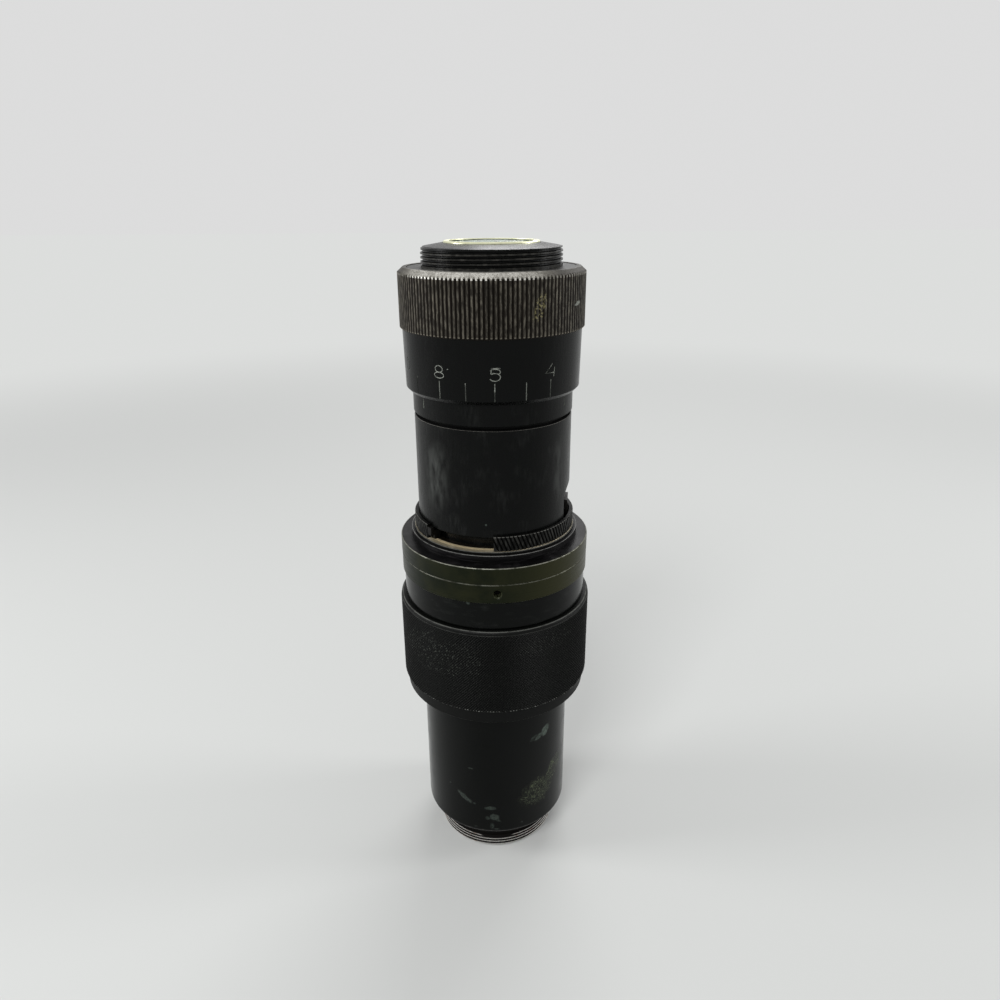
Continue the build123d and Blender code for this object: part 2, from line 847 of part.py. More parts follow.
def make_front_collar():
    """The threaded collar on top of the head sleeve, its top a low cone round the front lens cell."""
    lip_radius = cell_seat_radius - collar_lip_width
    cone_foot_z = collar_top_z - collar_cone_rise
    bottom = head_top_z - collar_spigot_length
    return turned([
        (lip_radius, bottom),
        (collar_spigot_radius, bottom),
        (collar_spigot_radius, head_top_z),
        (thread_radius, head_top_z),
        (thread_radius, cone_foot_z - collar_top_chamfer),
        (thread_radius - collar_top_chamfer, cone_foot_z),
        (cell_rim_radius + seat_gap, collar_top_z),
        (cell_seat_radius, collar_top_z),
        (cell_seat_radius, cell_bottom_z),
        (lip_radius, cell_bottom_z),
    ])


def make_front_cell():
    """The pale brass cell whose rim shows round the front glass."""
    lip_top_z = cell_bottom_z + cell_lip_height
    return turned([
        (cell_bore_radius - cell_lip_width, cell_bottom_z),
        (cell_radius, cell_bottom_z),
        (cell_radius, collar_top_z),
        (cell_rim_radius, collar_top_z),
        (cell_rim_radius, cell_top_z - cell_rim_chamfer),
        (cell_rim_radius - cell_rim_chamfer, cell_top_z),
        (cell_bore_radius, cell_top_z),
        (cell_bore_radius, lip_top_z),
        (cell_bore_radius - cell_lip_width, lip_top_z),
    ])


def make_front_group():
    """The front doublet and the thin ring screwed in above it."""
    radius = cell_bore_radius - seat_gap
    bottom = cell_bottom_z + cell_lip_height
    ring_top_z = cell_top_z - front_ring_drop
    top = ring_top_z - front_ring_height
    joint_z = bottom + (top - bottom) * front_flint_share
    flint = lens(radius, bottom, joint_z, front_flint_sag, -front_cement_sag, lens_rim, 0)
    crown = lens(
        radius, joint_z + cement_gap, top, front_cement_sag, front_crown_sag, 0, front_ring_width
    )
    holder = ring(radius - front_ring_width, radius, top, ring_top_z)
    return crown, flint, holder


rear_crown, rear_flint, rear_ring = make_rear_group()
front_crown, front_flint, front_ring = make_front_group()
pieces = {
    "lower_barrel": make_lower_barrel(),
    "rear_lens_crown": rear_crown,
    "rear_lens_flint": rear_flint,
    "rear_lens_ring": rear_ring,
    "grip_retainer": make_grip_retainer(),
    "black_band": make_black_band(),
    "clamp_ring": make_clamp_ring(),
    "set_screw": make_set_screw(),
    "top_flange": make_top_flange(),
    "guide_bush": make_guide_bush(),
    "guide_key": make_guide_key(),
    "stop_lug": make_stop_lug(),
    "focus_grip": make_focus_grip(),
    "lock_ring": make_lock_ring(),
    "focus_carriage": make_focus_carriage(),
    "drive_pins": make_drive_pins(),
    "main_tube": make_main_tube(),
    "relay_lens": make_relay_lens(),
    "relay_lens_ring": make_relay_lens_ring(),
    "aperture_stop": make_aperture_stop(),
    "head_sleeve": make_head_sleeve(),
    "index_ring": make_index_ring(),
    "scale_ring": make_scale_ring(),
    "lens_carrier": make_lens_carrier(),
    "carrier_pin": make_carrier_pin(),
    "carrier_lens": make_carrier_lens(),
    "carrier_lens_ring": make_carrier_lens_ring(),
    "front_collar": make_front_collar(),
    "front_lens_cell": make_front_cell(),
    "front_lens_crown": front_crown,
    "front_lens_flint": front_flint,
    "front_lens_ring": front_ring,
}

os.makedirs("parts", exist_ok=True)
for name, piece in pieces.items():
    export_step(piece, f"parts/{name}.step")
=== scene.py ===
import json
import math

import bmesh
import bpy
from mathutils import Matrix, Vector


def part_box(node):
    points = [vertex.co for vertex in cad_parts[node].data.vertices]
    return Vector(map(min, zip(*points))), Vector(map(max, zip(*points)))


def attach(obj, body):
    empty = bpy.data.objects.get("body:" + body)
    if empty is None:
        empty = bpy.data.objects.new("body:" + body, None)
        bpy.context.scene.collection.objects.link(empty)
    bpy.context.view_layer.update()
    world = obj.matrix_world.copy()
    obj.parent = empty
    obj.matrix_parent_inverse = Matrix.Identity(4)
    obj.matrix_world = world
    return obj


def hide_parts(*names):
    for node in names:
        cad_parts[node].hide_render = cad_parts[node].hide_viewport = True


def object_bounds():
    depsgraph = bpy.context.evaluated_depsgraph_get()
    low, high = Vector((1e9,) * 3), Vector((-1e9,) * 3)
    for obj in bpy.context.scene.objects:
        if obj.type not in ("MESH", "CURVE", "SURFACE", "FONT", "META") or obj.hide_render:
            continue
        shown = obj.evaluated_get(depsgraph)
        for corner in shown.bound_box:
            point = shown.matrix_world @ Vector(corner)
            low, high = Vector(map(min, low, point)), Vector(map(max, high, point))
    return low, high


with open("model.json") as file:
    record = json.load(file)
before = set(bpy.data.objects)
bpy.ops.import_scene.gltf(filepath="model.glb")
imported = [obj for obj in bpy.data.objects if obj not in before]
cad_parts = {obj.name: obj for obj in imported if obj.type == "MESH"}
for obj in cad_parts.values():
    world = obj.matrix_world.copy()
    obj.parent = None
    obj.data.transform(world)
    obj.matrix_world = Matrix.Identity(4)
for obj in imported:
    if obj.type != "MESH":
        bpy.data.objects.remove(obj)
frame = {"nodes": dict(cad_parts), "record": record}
cad_low, cad_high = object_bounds()

# Sizes of the frame that the looks follow, in metres
MM = 0.001
TURN = 2 * math.pi
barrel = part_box("lower_barrel")
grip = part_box("focus_grip")
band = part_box("black_band")
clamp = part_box("clamp_ring")
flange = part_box("top_flange")
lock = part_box("lock_ring")
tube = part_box("main_tube")
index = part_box("index_ring")
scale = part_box("scale_ring")
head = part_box("head_sleeve")
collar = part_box("front_collar")
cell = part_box("front_lens_cell")
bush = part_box("guide_bush")
grip_radius = grip[1].x
barrel_radius = barrel[1].x
flange_radius = flange[1].x
clamp_radius = clamp[1].x
index_radius = index[1].x
tube_radius = tube[1].x
lock_radius = lock[1].x
thread_radius = collar[1].x

# Steps of the frame's pieces that a box alone doesn't give
flange_height = 3.46 * MM
flange_collar_radius = 16.98 * MM
cell_rim_bare = 0.36 * MM
bush_ledge_radius = 14.75 * MM
screw_angle = 2.0

# Threads
thread_pitch = 0.75 * MM
thread_depth = 0.42 * MM
lower_crest_share = 0.14
lower_root_share = 0.3
upper_crest_share = 0.36
upper_root_share = 0.2
lower_thread_length = 2.9 * MM
lower_thread_runout = MM / 5
first_crest = 0.45 * MM
upper_thread_gap = 0.35 * MM
upper_thread_overrun = 2 * MM
thread_segments = 192

# Diamond knurl of the grip
diamond_count = 216
diamond_height = 0.62 * MM
diamond_depth = 0.2 * MM
diamond_inset = 0.035 * MM
skirt_height = 3.0 * MM
knurl_top_drop = 0.75 * MM
knurl_runout = MM / 5

# Number drum of the scale ring
drum_lip_height = 0.7 * MM
drum_height = 11.4 * MM
drum_bottom_radius = 16.63 * MM
drum_top_radius = 16.88 * MM
scale_knurl_height = 10.0 * MM
scale_knurl_radius = 17.33 * MM
scale_knurl_low = scale[0].z + drum_height
scale_knurl_top = scale_knurl_low + scale_knurl_height

# Lock ring
lock_rim_radius = 16.2 * MM
lock_rim_height = 2.95 * MM

# Low cone on top of the front collar
cone_foot_radius = 12.9 * MM
cone_top_radius = 9.3 * MM
cone_bore_radius = 8.93 * MM
cone_foot_drop = 0.5 * MM
cone_edge_rise = 0.05 * MM
cone_edge_radius = 12.4 * MM
cone_edge_bevel = 0.12 * MM
cone_rise = 0.7 * MM

# Engraving
stroke_width = 0.18 * MM
stroke_depth = 0.07 * MM
stroke_rise = 0.25 * MM
figure_height = 2.2 * MM
figure_width = 2.2 * MM
figure_base = 4.45 * MM
figure_advance = figure_width * 1.3
tick_base = 0.8 * MM
tick_length = 3.1 * MM
tick_angles = (58.3, 38.3, 21.0, 1.6, -16.1, -33.8, -54.0, -72.0, -90.0, -108.0)
tick_figures = {1: "4", 3: "5", 5: "8", 7: "10", 9: "12"}
index_angles = (-55.4, 59.3)
index_line_length = 2.1 * MM
index_line_base = 1.95 * MM

# Camera, from the fit to the photo
camera_place = Vector((1.25, -143.9, 136.5)) * MM
camera_pitch = 21.51
camera_roll = 0.35
camera_focal = 27.04
sensor_width = 36.0
nearest_seen = 0.005
farthest_seen = 20.0

# Cutters and normals
cutter_reach = MM
weld_distance = MM / 10000
sharp_angle = 32
turned_limit = 0.06


def body_of(node):
    """The body that a CAD node rides on."""
    for body, nodes in frame["record"]["behaviour"]["bodies"].items():
        if node in nodes:
            return body
    raise ValueError(node)


def mesh_object(name, points, faces):
    """A plain mesh object from points and faces."""
    mesh = bpy.data.meshes.new(name)
    mesh.from_pydata(points, [], faces)
    thing = bpy.data.objects.new(name, mesh)
    bpy.context.scene.collection.objects.link(thing)
    return thing


def polar(radius, angle, height):
    """A point from its radius, its angle from the front in radians and its height."""
    return radius * math.sin(angle), -radius * math.cos(angle), height


# Shapes that are cut into the CAD bodies


def closed_sleeve(name, rows, outer, segments):
    """A ring-shaped cutter: its inner skin is given row by row, and its outer skin is a cylinder."""
    points = [p for row in rows for p in row]
    count = len(rows)
    bottom = rows[0][0][2]
    top = rows[-1][0][2]
    for height in (bottom, top):
        points += [polar(outer, TURN * n / segments, height) for n in range(segments)]
    faces = []
    for k in range(count - 1):
        for n in range(segments):
            a, b = k * segments + n, k * segments + (n + 1) % segments
            c, d = b + segments, a + segments
            if (k + n) % 2:
                faces += [(a, c, b), (a, d, c)]
            else:
                faces += [(a, d, b), (b, d, c)]
    low, high = count * segments, (count + 1) * segments
    last = (count - 1) * segments
    for n in range(segments):
        m = (n + 1) % segments
        faces.append((n, m, low + m, low + n))
        faces.append((last + m, last + n, high + n, high + m))
        faces.append((low + n, low + m, high + m, high + n))
    return mesh_object(name, points, faces)


def diamond_cutter(bottom, top):
    """The air round a diamond knurl: pyramids that point outwards, in a staggered grid."""
    segments = 2 * diamond_count
    step = diamond_height / 2
    count = int((top - bottom) / step) + 1
    crest = grip_radius - diamond_inset
    rows = []
    for k in range(count + 1):
        height = bottom + (top - bottom) * k / count
        row = []
        for n in range(segments):
            radius = crest if (k + n) % 2 else crest - diamond_depth
            row.append(polar(radius, TURN * n / segments, height))
        rows.append(row)
    return closed_sleeve("diamonds", rows, grip_radius + cutter_reach, segments)


def thread_radius_at(turns, crest_share, root_share):
    """The radius of the thread's skin, where turns counts pitches from the middle of a crest."""
    share = abs(turns - round(turns)) * 2
    root_start = 1 - root_share
    fall = min(max((share - crest_share) / (root_start - crest_share), 0), 1)
    return thread_radius - thread_depth * fall


def thread_rows(length, crest_share, root_share):
    """How many turns up each row of a thread's skin starts, from two turns below the thread."""
    marks = (0, crest_share / 2, (1 - root_share) / 2)
    marks = marks + tuple(1 - mark for mark in reversed(marks[1:]))
    turns = int(length / thread_pitch) + 3
    rows = []
    for k in range(turns * len(marks) + 1):
        whole, part = divmod(k, len(marks))
        rows.append(whole - 2 + marks[part])
    return rows


def thread_cutter(name, bottom, top, crest_share, root_share):
    """The air round a right-hand thread between two heights, closed flat at both ends."""
    rows = thread_rows(top - bottom, crest_share, root_share)
    points = []
    segments = thread_segments
    for row in rows:
        for n in range(segments + 1):
            height = bottom + (row + n / segments) * thread_pitch
            clamped = min(max(height, bottom), top)
            turns_up = (clamped - bottom) / thread_pitch - n / segments
            radius = thread_radius_at(turns_up, crest_share, root_share)
            points.append(polar(radius, TURN * n / segments, clamped))
    across = segments + 1
    faces = []
    for k in range(len(rows) - 1):
        for n in range(segments):
            a = k * across + n
            faces.append((a, a + across, a + across + 1, a + 1))
    start = len(points)
    outer = thread_radius + cutter_reach
    for height in (bottom, top):
        points += [polar(outer, TURN * n / segments, height) for n in range(segments + 1)]
    last = (len(rows) - 1) * across
    for n in range(segments):
        faces.append((n, n + 1, start + n + 1, start + n))
        faces.append((last + n + 1, last + n, start + across + n, start + across + n + 1))
        faces.append((start + n, start + n + 1, start + across + n + 1, start + across + n))
    return welded_object(name, points, faces)


def weld(mesh):
    """Joins points that lie together and drops what that leaves without area."""
    bm = bmesh.new()
    bm.from_mesh(mesh)
    bmesh.ops.remove_doubles(bm, verts=bm.verts, dist=weld_distance)
    bmesh.ops.dissolve_degenerate(bm, edges=bm.edges, dist=weld_distance)
    bmesh.ops.recalc_face_normals(bm, faces=bm.faces)
    bm.to_mesh(mesh)
    bm.free()


def welded_object(name, points, faces):
    """A mesh object whose doubled points are joined."""
    thing = mesh_object(name, points, faces)
    weld(thing.data)
    return thing


def stroke_sides(line, loop):
    """The left and right points of a stroke along a line, half a width longer at open ends."""
    half = stroke_width / 2
    count = len(line)
    sides = []
    for k in range(count):
        before = line[k - 1] if k or loop else line[k]
        after = line[(k + 1) % count] if k < count - 1 or loop else line[k]
        run = Vector((after[0] - before[0], after[1] - before[1])).normalized()
        here = Vector(line[k])
        if not loop and k == 0:
            here = here - run * half
        if not loop and k == count - 1:
            here = here + run * half
        across = Vector((-run.y, run.x)) * half
        sides.append((here + across, here - across))
    return sides


def stroke_cutter(name, line, angle, base, skin, loop=False):
    """A groove cutter along a line on a cone, its points given as (along, up) from a place on it."""
    radius_low, radius_high, height_low, height_high = skin
    corners = ((0, stroke_rise), (1, stroke_rise), (1, -stroke_depth), (0, -stroke_depth))
    count = len(line)
    points = []
    for pair in stroke_sides(line, loop):
        for side, lift in corners:
            spot = pair[side]
            height = base + spot.y
            share = (height - height_low) / (height_high - height_low)
            radius = radius_low + (radius_high - radius_low) * share
            points.append(polar(radius + lift, angle + spot.x / radius, height))
    faces = []
    links = count if loop else count - 1
    for k in range(links):
        a, b = 4 * k, 4 * ((k + 1) % count)
        for n in range(4):
            m = (n + 1) % 4
            faces.append((a + n, a + m, b + m, b + n))
    if not loop:
        faces.append((3, 2, 1, 0))
        end = 4 * (count - 1)
        faces.append((end, end + 1, end + 2, end + 3))
    return welded_object(name, points, faces)


def cone_ring(name, base):
    """A low cone with a bore, from just inside the collar's face up to the lens cell's rim."""
    foot = base - cone_foot_drop
    top = base + cone_rise
    edge = base + cone_edge_rise
    profile = [
        (cone_bore_radius, foot),
        (cone_foot_radius, foot),
        (cone_foot_radius, edge),
        (cone_edge_radius, edge + cone_edge_bevel),
        (cone_top_radius, top),
        (cone_bore_radius, top),
    ]
    count = len(profile)
    points = []
    for n in range(thread_segments):
        points += [polar(radius, TURN * n / thread_segments, height) for radius, height in profile]
    faces = []
    for n in range(thread_segments):
        here, there = n * count, (n + 1) % thread_segments * count
        for k in range(count):
            m = (k + 1) % count
            faces.append((here + k, there + k, there + m, here + m))
    return welded_object(name, points, faces)


def carved(node, cutters, added=()):
    """The piece that stands for a CAD node: its own mesh, with pieces added and cutters taken out."""
    mesh = frame["nodes"][node].data.copy()
    weld(mesh)
    piece = bpy.data.objects.new(node + "_cut", mesh)
    bpy.context.scene.collection.objects.link(piece)
    steps = [(other, "UNION") for other in added] + [(cutter, "DIFFERENCE") for cutter in cutters]
    for other, operation in steps:
        step = piece.modifiers.new(other.name, "BOOLEAN")
        step.operation = operation
        step.solver = "MANIFOLD"
        step.object = other
    graph = bpy.context.evaluated_depsgraph_get()
    finished = bpy.data.meshes.new_from_object(piece.evaluated_get(graph))
    piece.modifiers.clear()
    piece.data = finished
    for other, _ in steps:
        bpy.data.objects.remove(other)
    smooth_round(piece.data)
    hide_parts(node)
    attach(piece, body_of(node))
    return piece


def turned_profiles(mesh):
    """The (outwards, up) slope of each face of a turned form, and None for a face cut across it."""
    profiles = []
    for face in mesh.polygons:
        middle = face.center
        size = math.hypot(middle.x, middle.y)
        out = Vector((middle.x / size, middle.y / size))
        along = face.normal.x * out.x + face.normal.y * out.y
        side = face.normal.y * out.x - face.normal.x * out.y
        profiles.append((along, face.normal.z) if abs(side) < turned_limit else None)
    return profiles


def smooth_round(mesh):
    """Gives turned faces the exact normals of their round form, and leaves cut faces flat."""
    sharp = math.cos(math.radians(sharp_angle))
    profiles = turned_profiles(mesh)
    faces_at = [[] for _ in mesh.vertices]
    for face in mesh.polygons:
        for vertex in face.vertices:
            faces_at[vertex].append(face.index)
    normals = []
    for face in mesh.polygons:
        own = profiles[face.index]
        for vertex in face.vertices:
            if own is None:
                normals.append(face.normal.copy())
                continue
            along, up = 0.0, 0.0
            for other in faces_at[vertex]:
                there = profiles[other]
                if there and there[0] * own[0] + there[1] * own[1] > sharp:
                    weight = math.sqrt(mesh.polygons[other].area)
                    along += there[0] * weight
                    up += there[1] * weight
            place = mesh.vertices[vertex].co
            size = math.hypot(place.x, place.y)
            normals.append(Vector((along * place.x / size, along * place.y / size, up)).normalized())
    mesh.normals_split_custom_set(normals)


def arc(middle, radius, start, end, steps):
    """Points along an arc, from one angle in degrees to another."""
    spots = []
    for k in range(steps + 1):
        turn = math.radians(start + (end - start) * k / steps)
        spots.append((middle[0] + radius[0] * math.cos(turn), middle[1] + radius[1] * math.sin(turn)))
    return spots


def figure_strokes(figure):
    """The strokes of one figure in a unit box, as (closed, points): 8 with a dot, 5 struck twice."""
    if figure == "8":
        return [
            (True, arc((0.5, 0.73), (0.36, 0.27), 0, 345, 15)),
            (True, arc((0.5, 0.24), (0.46, 0.24), 0, 345, 15)),
            (False, [(1.32, 0.78), (1.36, 0.78)]),
        ]
    if figure == "5":
        bowl = arc((0.52, 0.3), (0.43, 0.31), 130, -150, 14)
        second_strike = arc((0.54, 0.72), (0.41, 0.22), 150, -50, 8)
        return [(False, [(0.92, 1.0), (0.26, 1.0), (0.2, 0.56)] + bowl), (False, second_strike)]
    if figure == "4":
        return [
            (False, [(0.6, 1.0), (-0.06, 0.3), (0.76, 0.3)]),
            (False, [(0.87, 0.7), (0.8, 0.02)]),
        ]
    if figure == "1":
        return [(False, [(0.3, 0.78), (0.55, 1.0), (0.55, 0.0)])]
    if figure == "0":
        return [(True, arc((0.5, 0.5), (0.42, 0.5), 0, 345, 17))]
    if figure == "2":
        hook = arc((0.48, 0.7), (0.42, 0.3), 165, -35, 10)
        return [(False, hook + [(0.06, 0.0), (0.96, 0.0)])]
    raise ValueError(figure)


def drum_engraving():
    """The ticks and figures of the number drum, every other tick with its figure."""
    low = scale[0].z + drum_lip_height
    skin = (drum_bottom_radius, drum_top_radius, low, scale_knurl_low)
    cutters = []
    for k, tick in enumerate(tick_angles):
        angle = math.radians(tick)
        line = [(0, 0), (0, tick_length)]
        cutters.append(stroke_cutter(f"tick_{k}", line, angle, scale[0].z + tick_base, skin))
        text = tick_figures.get(k, "")
        start = -figure_advance * (len(text) - 1) / 2 - figure_width / 2
        for n, figure in enumerate(text):
            left = start + figure_advance * n
            for m, (closed, spots) in enumerate(figure_strokes(figure)):
                line = [(left + figure_width * x, figure_height * y) for x, y in spots]
                name = f"figure_{k}_{n}_{m}"
                base = scale[0].z + figure_base
                cutters.append(stroke_cutter(name, line, angle, base, skin, loop=closed))
    return cutters


def index_engraving():
    """The two index lines of the index ring."""
    skin = (index_radius, index_radius, index[0].z, index[1].z)
    line = [(0, 0), (0, index_line_length)]
    cutters = []
    for k, place in enumerate(index_angles):
        angle = math.radians(place)
        cutters.append(stroke_cutter(f"index_{k}", line, angle, index[0].z + index_line_base, skin))
    return cutters


lower_start = first_crest - 2 * thread_pitch
lower_end = lower_thread_length + lower_thread_runout
lower_air = thread_cutter("lower_air", lower_start, lower_end, lower_crest_share, lower_root_share)
barrel_piece = carved("lower_barrel", [lower_air])
upper_start = head[1].z + upper_thread_gap
upper_end = collar[1].z + upper_thread_overrun
upper_air = thread_cutter("upper_air", upper_start, upper_end, upper_crest_share, upper_root_share)
collar_piece = carved("front_collar", [upper_air], [cone_ring("cone", collar[1].z)])
knurl_low = grip[0].z + skirt_height - knurl_runout
knurl_high = grip[1].z - knurl_top_drop
grip_piece = carved("focus_grip", [diamond_cutter(knurl_low, knurl_high)])
scale_piece = carved("scale_ring", drum_engraving())
index_piece = carved("index_ring", index_engraving())


# Finishes

BLACK_GLOSS = 0.1
PLAIN_GLOSS = 0.5


class Finish:
    """One Principled material and the steps that its masks are made of."""

    def __init__(self, name, gloss=BLACK_GLOSS):
        """Starts with the plain shader and a place's radius, turn and height."""
        self.material = bpy.data.materials.new(name)
        self.material.use_nodes = True
        self.nodes = self.material.node_tree.nodes
        self.links = self.material.node_tree.links
        self.shader = self.nodes["Principled BSDF"]
        self.place = self.nodes.new("ShaderNodeTexCoord").outputs["Object"]
        split = self.nodes.new("ShaderNodeSeparateXYZ")
        self.links.new(self.place, split.inputs[0])
        x, y, self.height = split.outputs
        self.radius = self.reach(x, y)
        self.turn = self.math("ARCTAN2", x, self.math("MULTIPLY", y, -1.0))
        self.set(Specular_IOR_Level=gloss)

    def put(self, socket, value):
        """Links a step, or sets a plain value."""
        if isinstance(value, bpy.types.NodeSocket):
            self.links.new(value, socket)
        elif isinstance(value, tuple) and len(value) == 3 and len(socket.default_value) == 4:
            socket.default_value = (*value, 1.0)
        else:
            socket.default_value = value

    def set(self, **values):
        """Sets the shader's own sockets."""
        for name, value in values.items():
            self.put(self.shader.inputs[name.replace("_", " ")], value)

    def math(self, operation, *values):
        """One math step."""
        node = self.nodes.new("ShaderNodeMath")
        node.operation = operation
        for socket, value in zip(node.inputs, values):
            self.put(socket, value)
        return node.outputs[0]

    def reach(self, along, up):
        """The distance that two steps make at right angles."""
        squares = [self.math("MULTIPLY", step, step) for step in (along, up)]
        return self.math("SQRT", self.math("ADD", *squares))

    def times(self, *values):
        """The product of steps and numbers."""
        product = values[0]
        for value in values[1:]:
            product = self.math("MULTIPLY", product, value)
        return product

    def flip(self, value):
        """One less a step."""
        return self.math("SUBTRACT", 1.0, value)

    def most(self, *values):
        """The largest of steps and numbers."""
        result = values[0]
        for value in values[1:]:
            result = self.math("MAXIMUM", result, value)
        return result

    def ramp(self, value, low, high, start=0.0, end=1.0, kind="SMOOTHSTEP"):
        """From start to end as a value goes from low to high, and level beyond them."""
        node = self.nodes.new("ShaderNodeMapRange")
        node.interpolation_type = kind
        for socket, number in zip(node.inputs, (value, low, high, start, end)):
            self.put(socket, number)
        return node.outputs[0]

    def beyond(self, radius, low, high, start=0.0, end=1.0):
        """From start to end between two offsets from a radius, in millimetres."""
        return self.ramp(self.radius, radius + low * MM, radius + high * MM, start, end)

    def above(self, height, low, high, start=0.0, end=1.0):
        """From start to end between two offsets from a height, in millimetres."""
        return self.ramp(self.height, height + low * MM, height + high * MM, start, end)

    def between(self, value, low, high, soft):
        """One between two values, with soft edges."""
        start = self.ramp(value, low - soft, low)
        return self.times(start, self.ramp(value, high, high + soft, 1.0, 0.0))

    def wrapped(self, around, up):
        """A place with one unit for a distance round the turned skin and one for a height."""
        node = self.nodes.new("ShaderNodeVectorMath")
        node.operation = "MULTIPLY"
        self.links.new(self.place, node.inputs[0])
        node.inputs[1].default_value = (1 / around, 1 / around, 1 / up)
        return node.outputs[0]

    def noise(self, size=None, vector=None, detail=3.0, rough=0.55, twist=0.0):
        """Noise between 0 and 1, with features of one size, or on a stretched place."""
        node = self.nodes.new("ShaderNodeTexNoise")
        self.links.new(vector or self.place, node.inputs["Vector"])
        node.inputs["Scale"].default_value = 1 / size if size else 1.0
        node.inputs["Detail"].default_value = detail
        node.inputs["Roughness"].default_value = rough
        node.inputs["Distortion"].default_value = twist
        return node.outputs["Fac"]

    def patches(self, size, low, high, start=0.0, end=1.0, **kind):
        """Patches of one size: from start to end as their noise goes from low to high."""
        return self.ramp(self.noise(size, **kind), low, high, start, end)

    def mix(self, mask, under, over):
        """One colour over another where the mask is one."""
        node = self.nodes.new("ShaderNodeMix")
        node.data_type = "RGBA"
        self.put(node.inputs[0], mask)
        self.put(node.inputs[6], under)
        self.put(node.inputs[7], over)
        return node.outputs[2]

    def blend(self, mask, under, over):
        """One number over another where the mask is one."""
        node = self.nodes.new("ShaderNodeMix")
        self.put(node.inputs[0], mask)
        self.put(node.inputs[2], under)
        self.put(node.inputs[3], over)
        return node.outputs[0]

    def bump(self, value, distance):
        """Relief from a value, as deep as a distance in metres."""
        node = self.nodes.new("ShaderNodeBump")
        node.inputs["Distance"].default_value = distance
        self.links.new(value, node.inputs["Height"])
        self.links.new(node.outputs[0], self.shader.inputs["Normal"])

    def beside(self, angle, full=3, none=4, rest=0.0):
        """One close to an angle, and down to the rest between two numbers of degrees away from it."""
        away = self.math("ABSOLUTE", self.math("SUBTRACT", self.turn, math.radians(angle)))
        return self.ramp(away, math.radians(full), math.radians(none), 1.0, rest)

    def front_left_sheen(self):
        """One at the front left of the turned skin, and less elsewhere: a painted sheen."""
        return self.beside(-14, 28, 60, 0.14)

    def to_sides(self, near, far, start, end):
        """From start at the front to end at the sides, between two numbers of degrees."""
        away = self.math("ABSOLUTE", self.turn)
        return self.ramp(away, math.radians(near), math.radians(far), start, end)

    def worn_face_and_sheen(self):
        """A grained face, worn bare in patches and painted with a sheen at the front left: its grain
        and how bare and bright it is.
        """
        grain = self.noise(0.22 * MM, detail=5.0, rough=0.65)
        patchy = self.patches(2.2 * MM, 0.3, 0.6, 0.7, 1.0, detail=4.0)
        return grain, self.times(self.ramp(grain, 0.3, 0.6, 0.4, 1.0), self.front_left_sheen(), patchy)

    def chip(self, angle, height, width, tall, tilt, wobble):
        """A ragged tilted patch: its angle, its height and its size in millimetres on the barrel."""
        along = self.times(self.math("SUBTRACT", self.turn, math.radians(angle)), barrel_radius)
        up = self.math("SUBTRACT", self.height, height * MM)
        c, s = math.cos(math.radians(tilt)), math.sin(math.radians(tilt))
        wide, high = 2 / (width * MM), 2 / (tall * MM)
        u = self.math("ADD", self.times(along, c * wide), self.times(up, s * wide))
        v = self.math("SUBTRACT", self.times(up, c * high), self.times(along, s * high))
        away = self.math("ADD", self.reach(u, v), self.math("MULTIPLY", wobble, 1.3))
        return self.ramp(away, 1.25, 1.75, 1.0, 0.0)


BLACK = (0.0013, 0.0017, 0.0014)
SATIN_BLACK = (0.0014, 0.0016, 0.0015)
GRIP_BLACK = (0.0022, 0.0025, 0.0022)
LOCK_BLACK = (0.0022, 0.0022, 0.0020)
FACE_BLACK = (0.002, 0.0019, 0.0021)
STOP_BLACK = (0.003, 0.003, 0.003)
STOP_GREY = (0.007, 0.007, 0.0065)
DEEP_BLACK = (0.0008, 0.0008, 0.0007)
DUST = (0.09, 0.095, 0.09)
CHIP = (0.085, 0.108, 0.092)
FLECK = (0.085, 0.10, 0.06)
WORN = (0.50, 0.48, 0.43)
BROWN = (0.012, 0.010, 0.008)
SILVER = (0.66, 0.645, 0.60)
TOOTH = (0.30, 0.275, 0.22)
ENGRAVED = (0.36, 0.38, 0.34)
OLIVE = (0.004, 0.0062, 0.002)
OLIVE_BROWN_AND_SHEEN = (0.026, 0.026, 0.0095)
BRASS = (0.72, 0.60, 0.38)
PALE_BRASS = (0.80, 0.80, 0.56)
COPPER = (0.52, 0.36, 0.27)
FOOT_DARK = (0.004, 0.0035, 0.003)
FOOT_BARE = (0.84, 0.82, 0.78)
CONE_SHADE_BROWN = (0.11, 0.098, 0.07)
CONE_SHEEN_GREY = (0.15, 0.142, 0.148)
GRIP_RUBBED = (0.17, 0.185, 0.16)
GRIP_FOOT = (0.42, 0.43, 0.40)
GRIP_EDGE = (0.32, 0.33, 0.30)
OLD_LACQUER = (0.30, 0.27, 0.14)
SCUFF = (0.40, 0.42, 0.38)
LOCK_EDGE = (0.42, 0.42, 0.38)
LEDGE_DARK = (0.30, 0.26, 0.18)
LEDGE_BRIGHT = (0.70, 0.64, 0.50)
RING_EDGE = (0.42, 0.42, 0.36)
SCREW_EDGE = (0.16, 0.17, 0.10)
FACE_SCRATCH = (0.05, 0.047, 0.05)
COLLAR_EDGE = (0.42, 0.42, 0.40)
BUSH_STAIN = (0.45, 0.36, 0.22)
BUSH_SHADE_AND_TARNISH = (0.008, 0.006, 0.0035)
BRASS_STAIN = (0.30, 0.20, 0.09)
CELL_STAIN = (0.62, 0.62, 0.42)
CELL_DARK = (0.028, 0.022, 0.013)
CELL_DULL = (0.035, 0.05, 0.03)
CELL_GRIT = (0.24, 0.28, 0.19)
BLACK_STEEL = (0.012, 0.011, 0.010)
STEEL = (0.45, 0.45, 0.44)
GLASS = (0.58, 0.80, 0.64)
GLASS_DUST = (0.04, 0.08, 0.045)
GLASS_SPECKS_AND_SPARKLE = (0.42, 0.50, 0.38)
FLOOR = (0.60, 0.61, 0.60, 1.0)
BACKDROP = (0.72, 0.73, 0.72, 1.0)

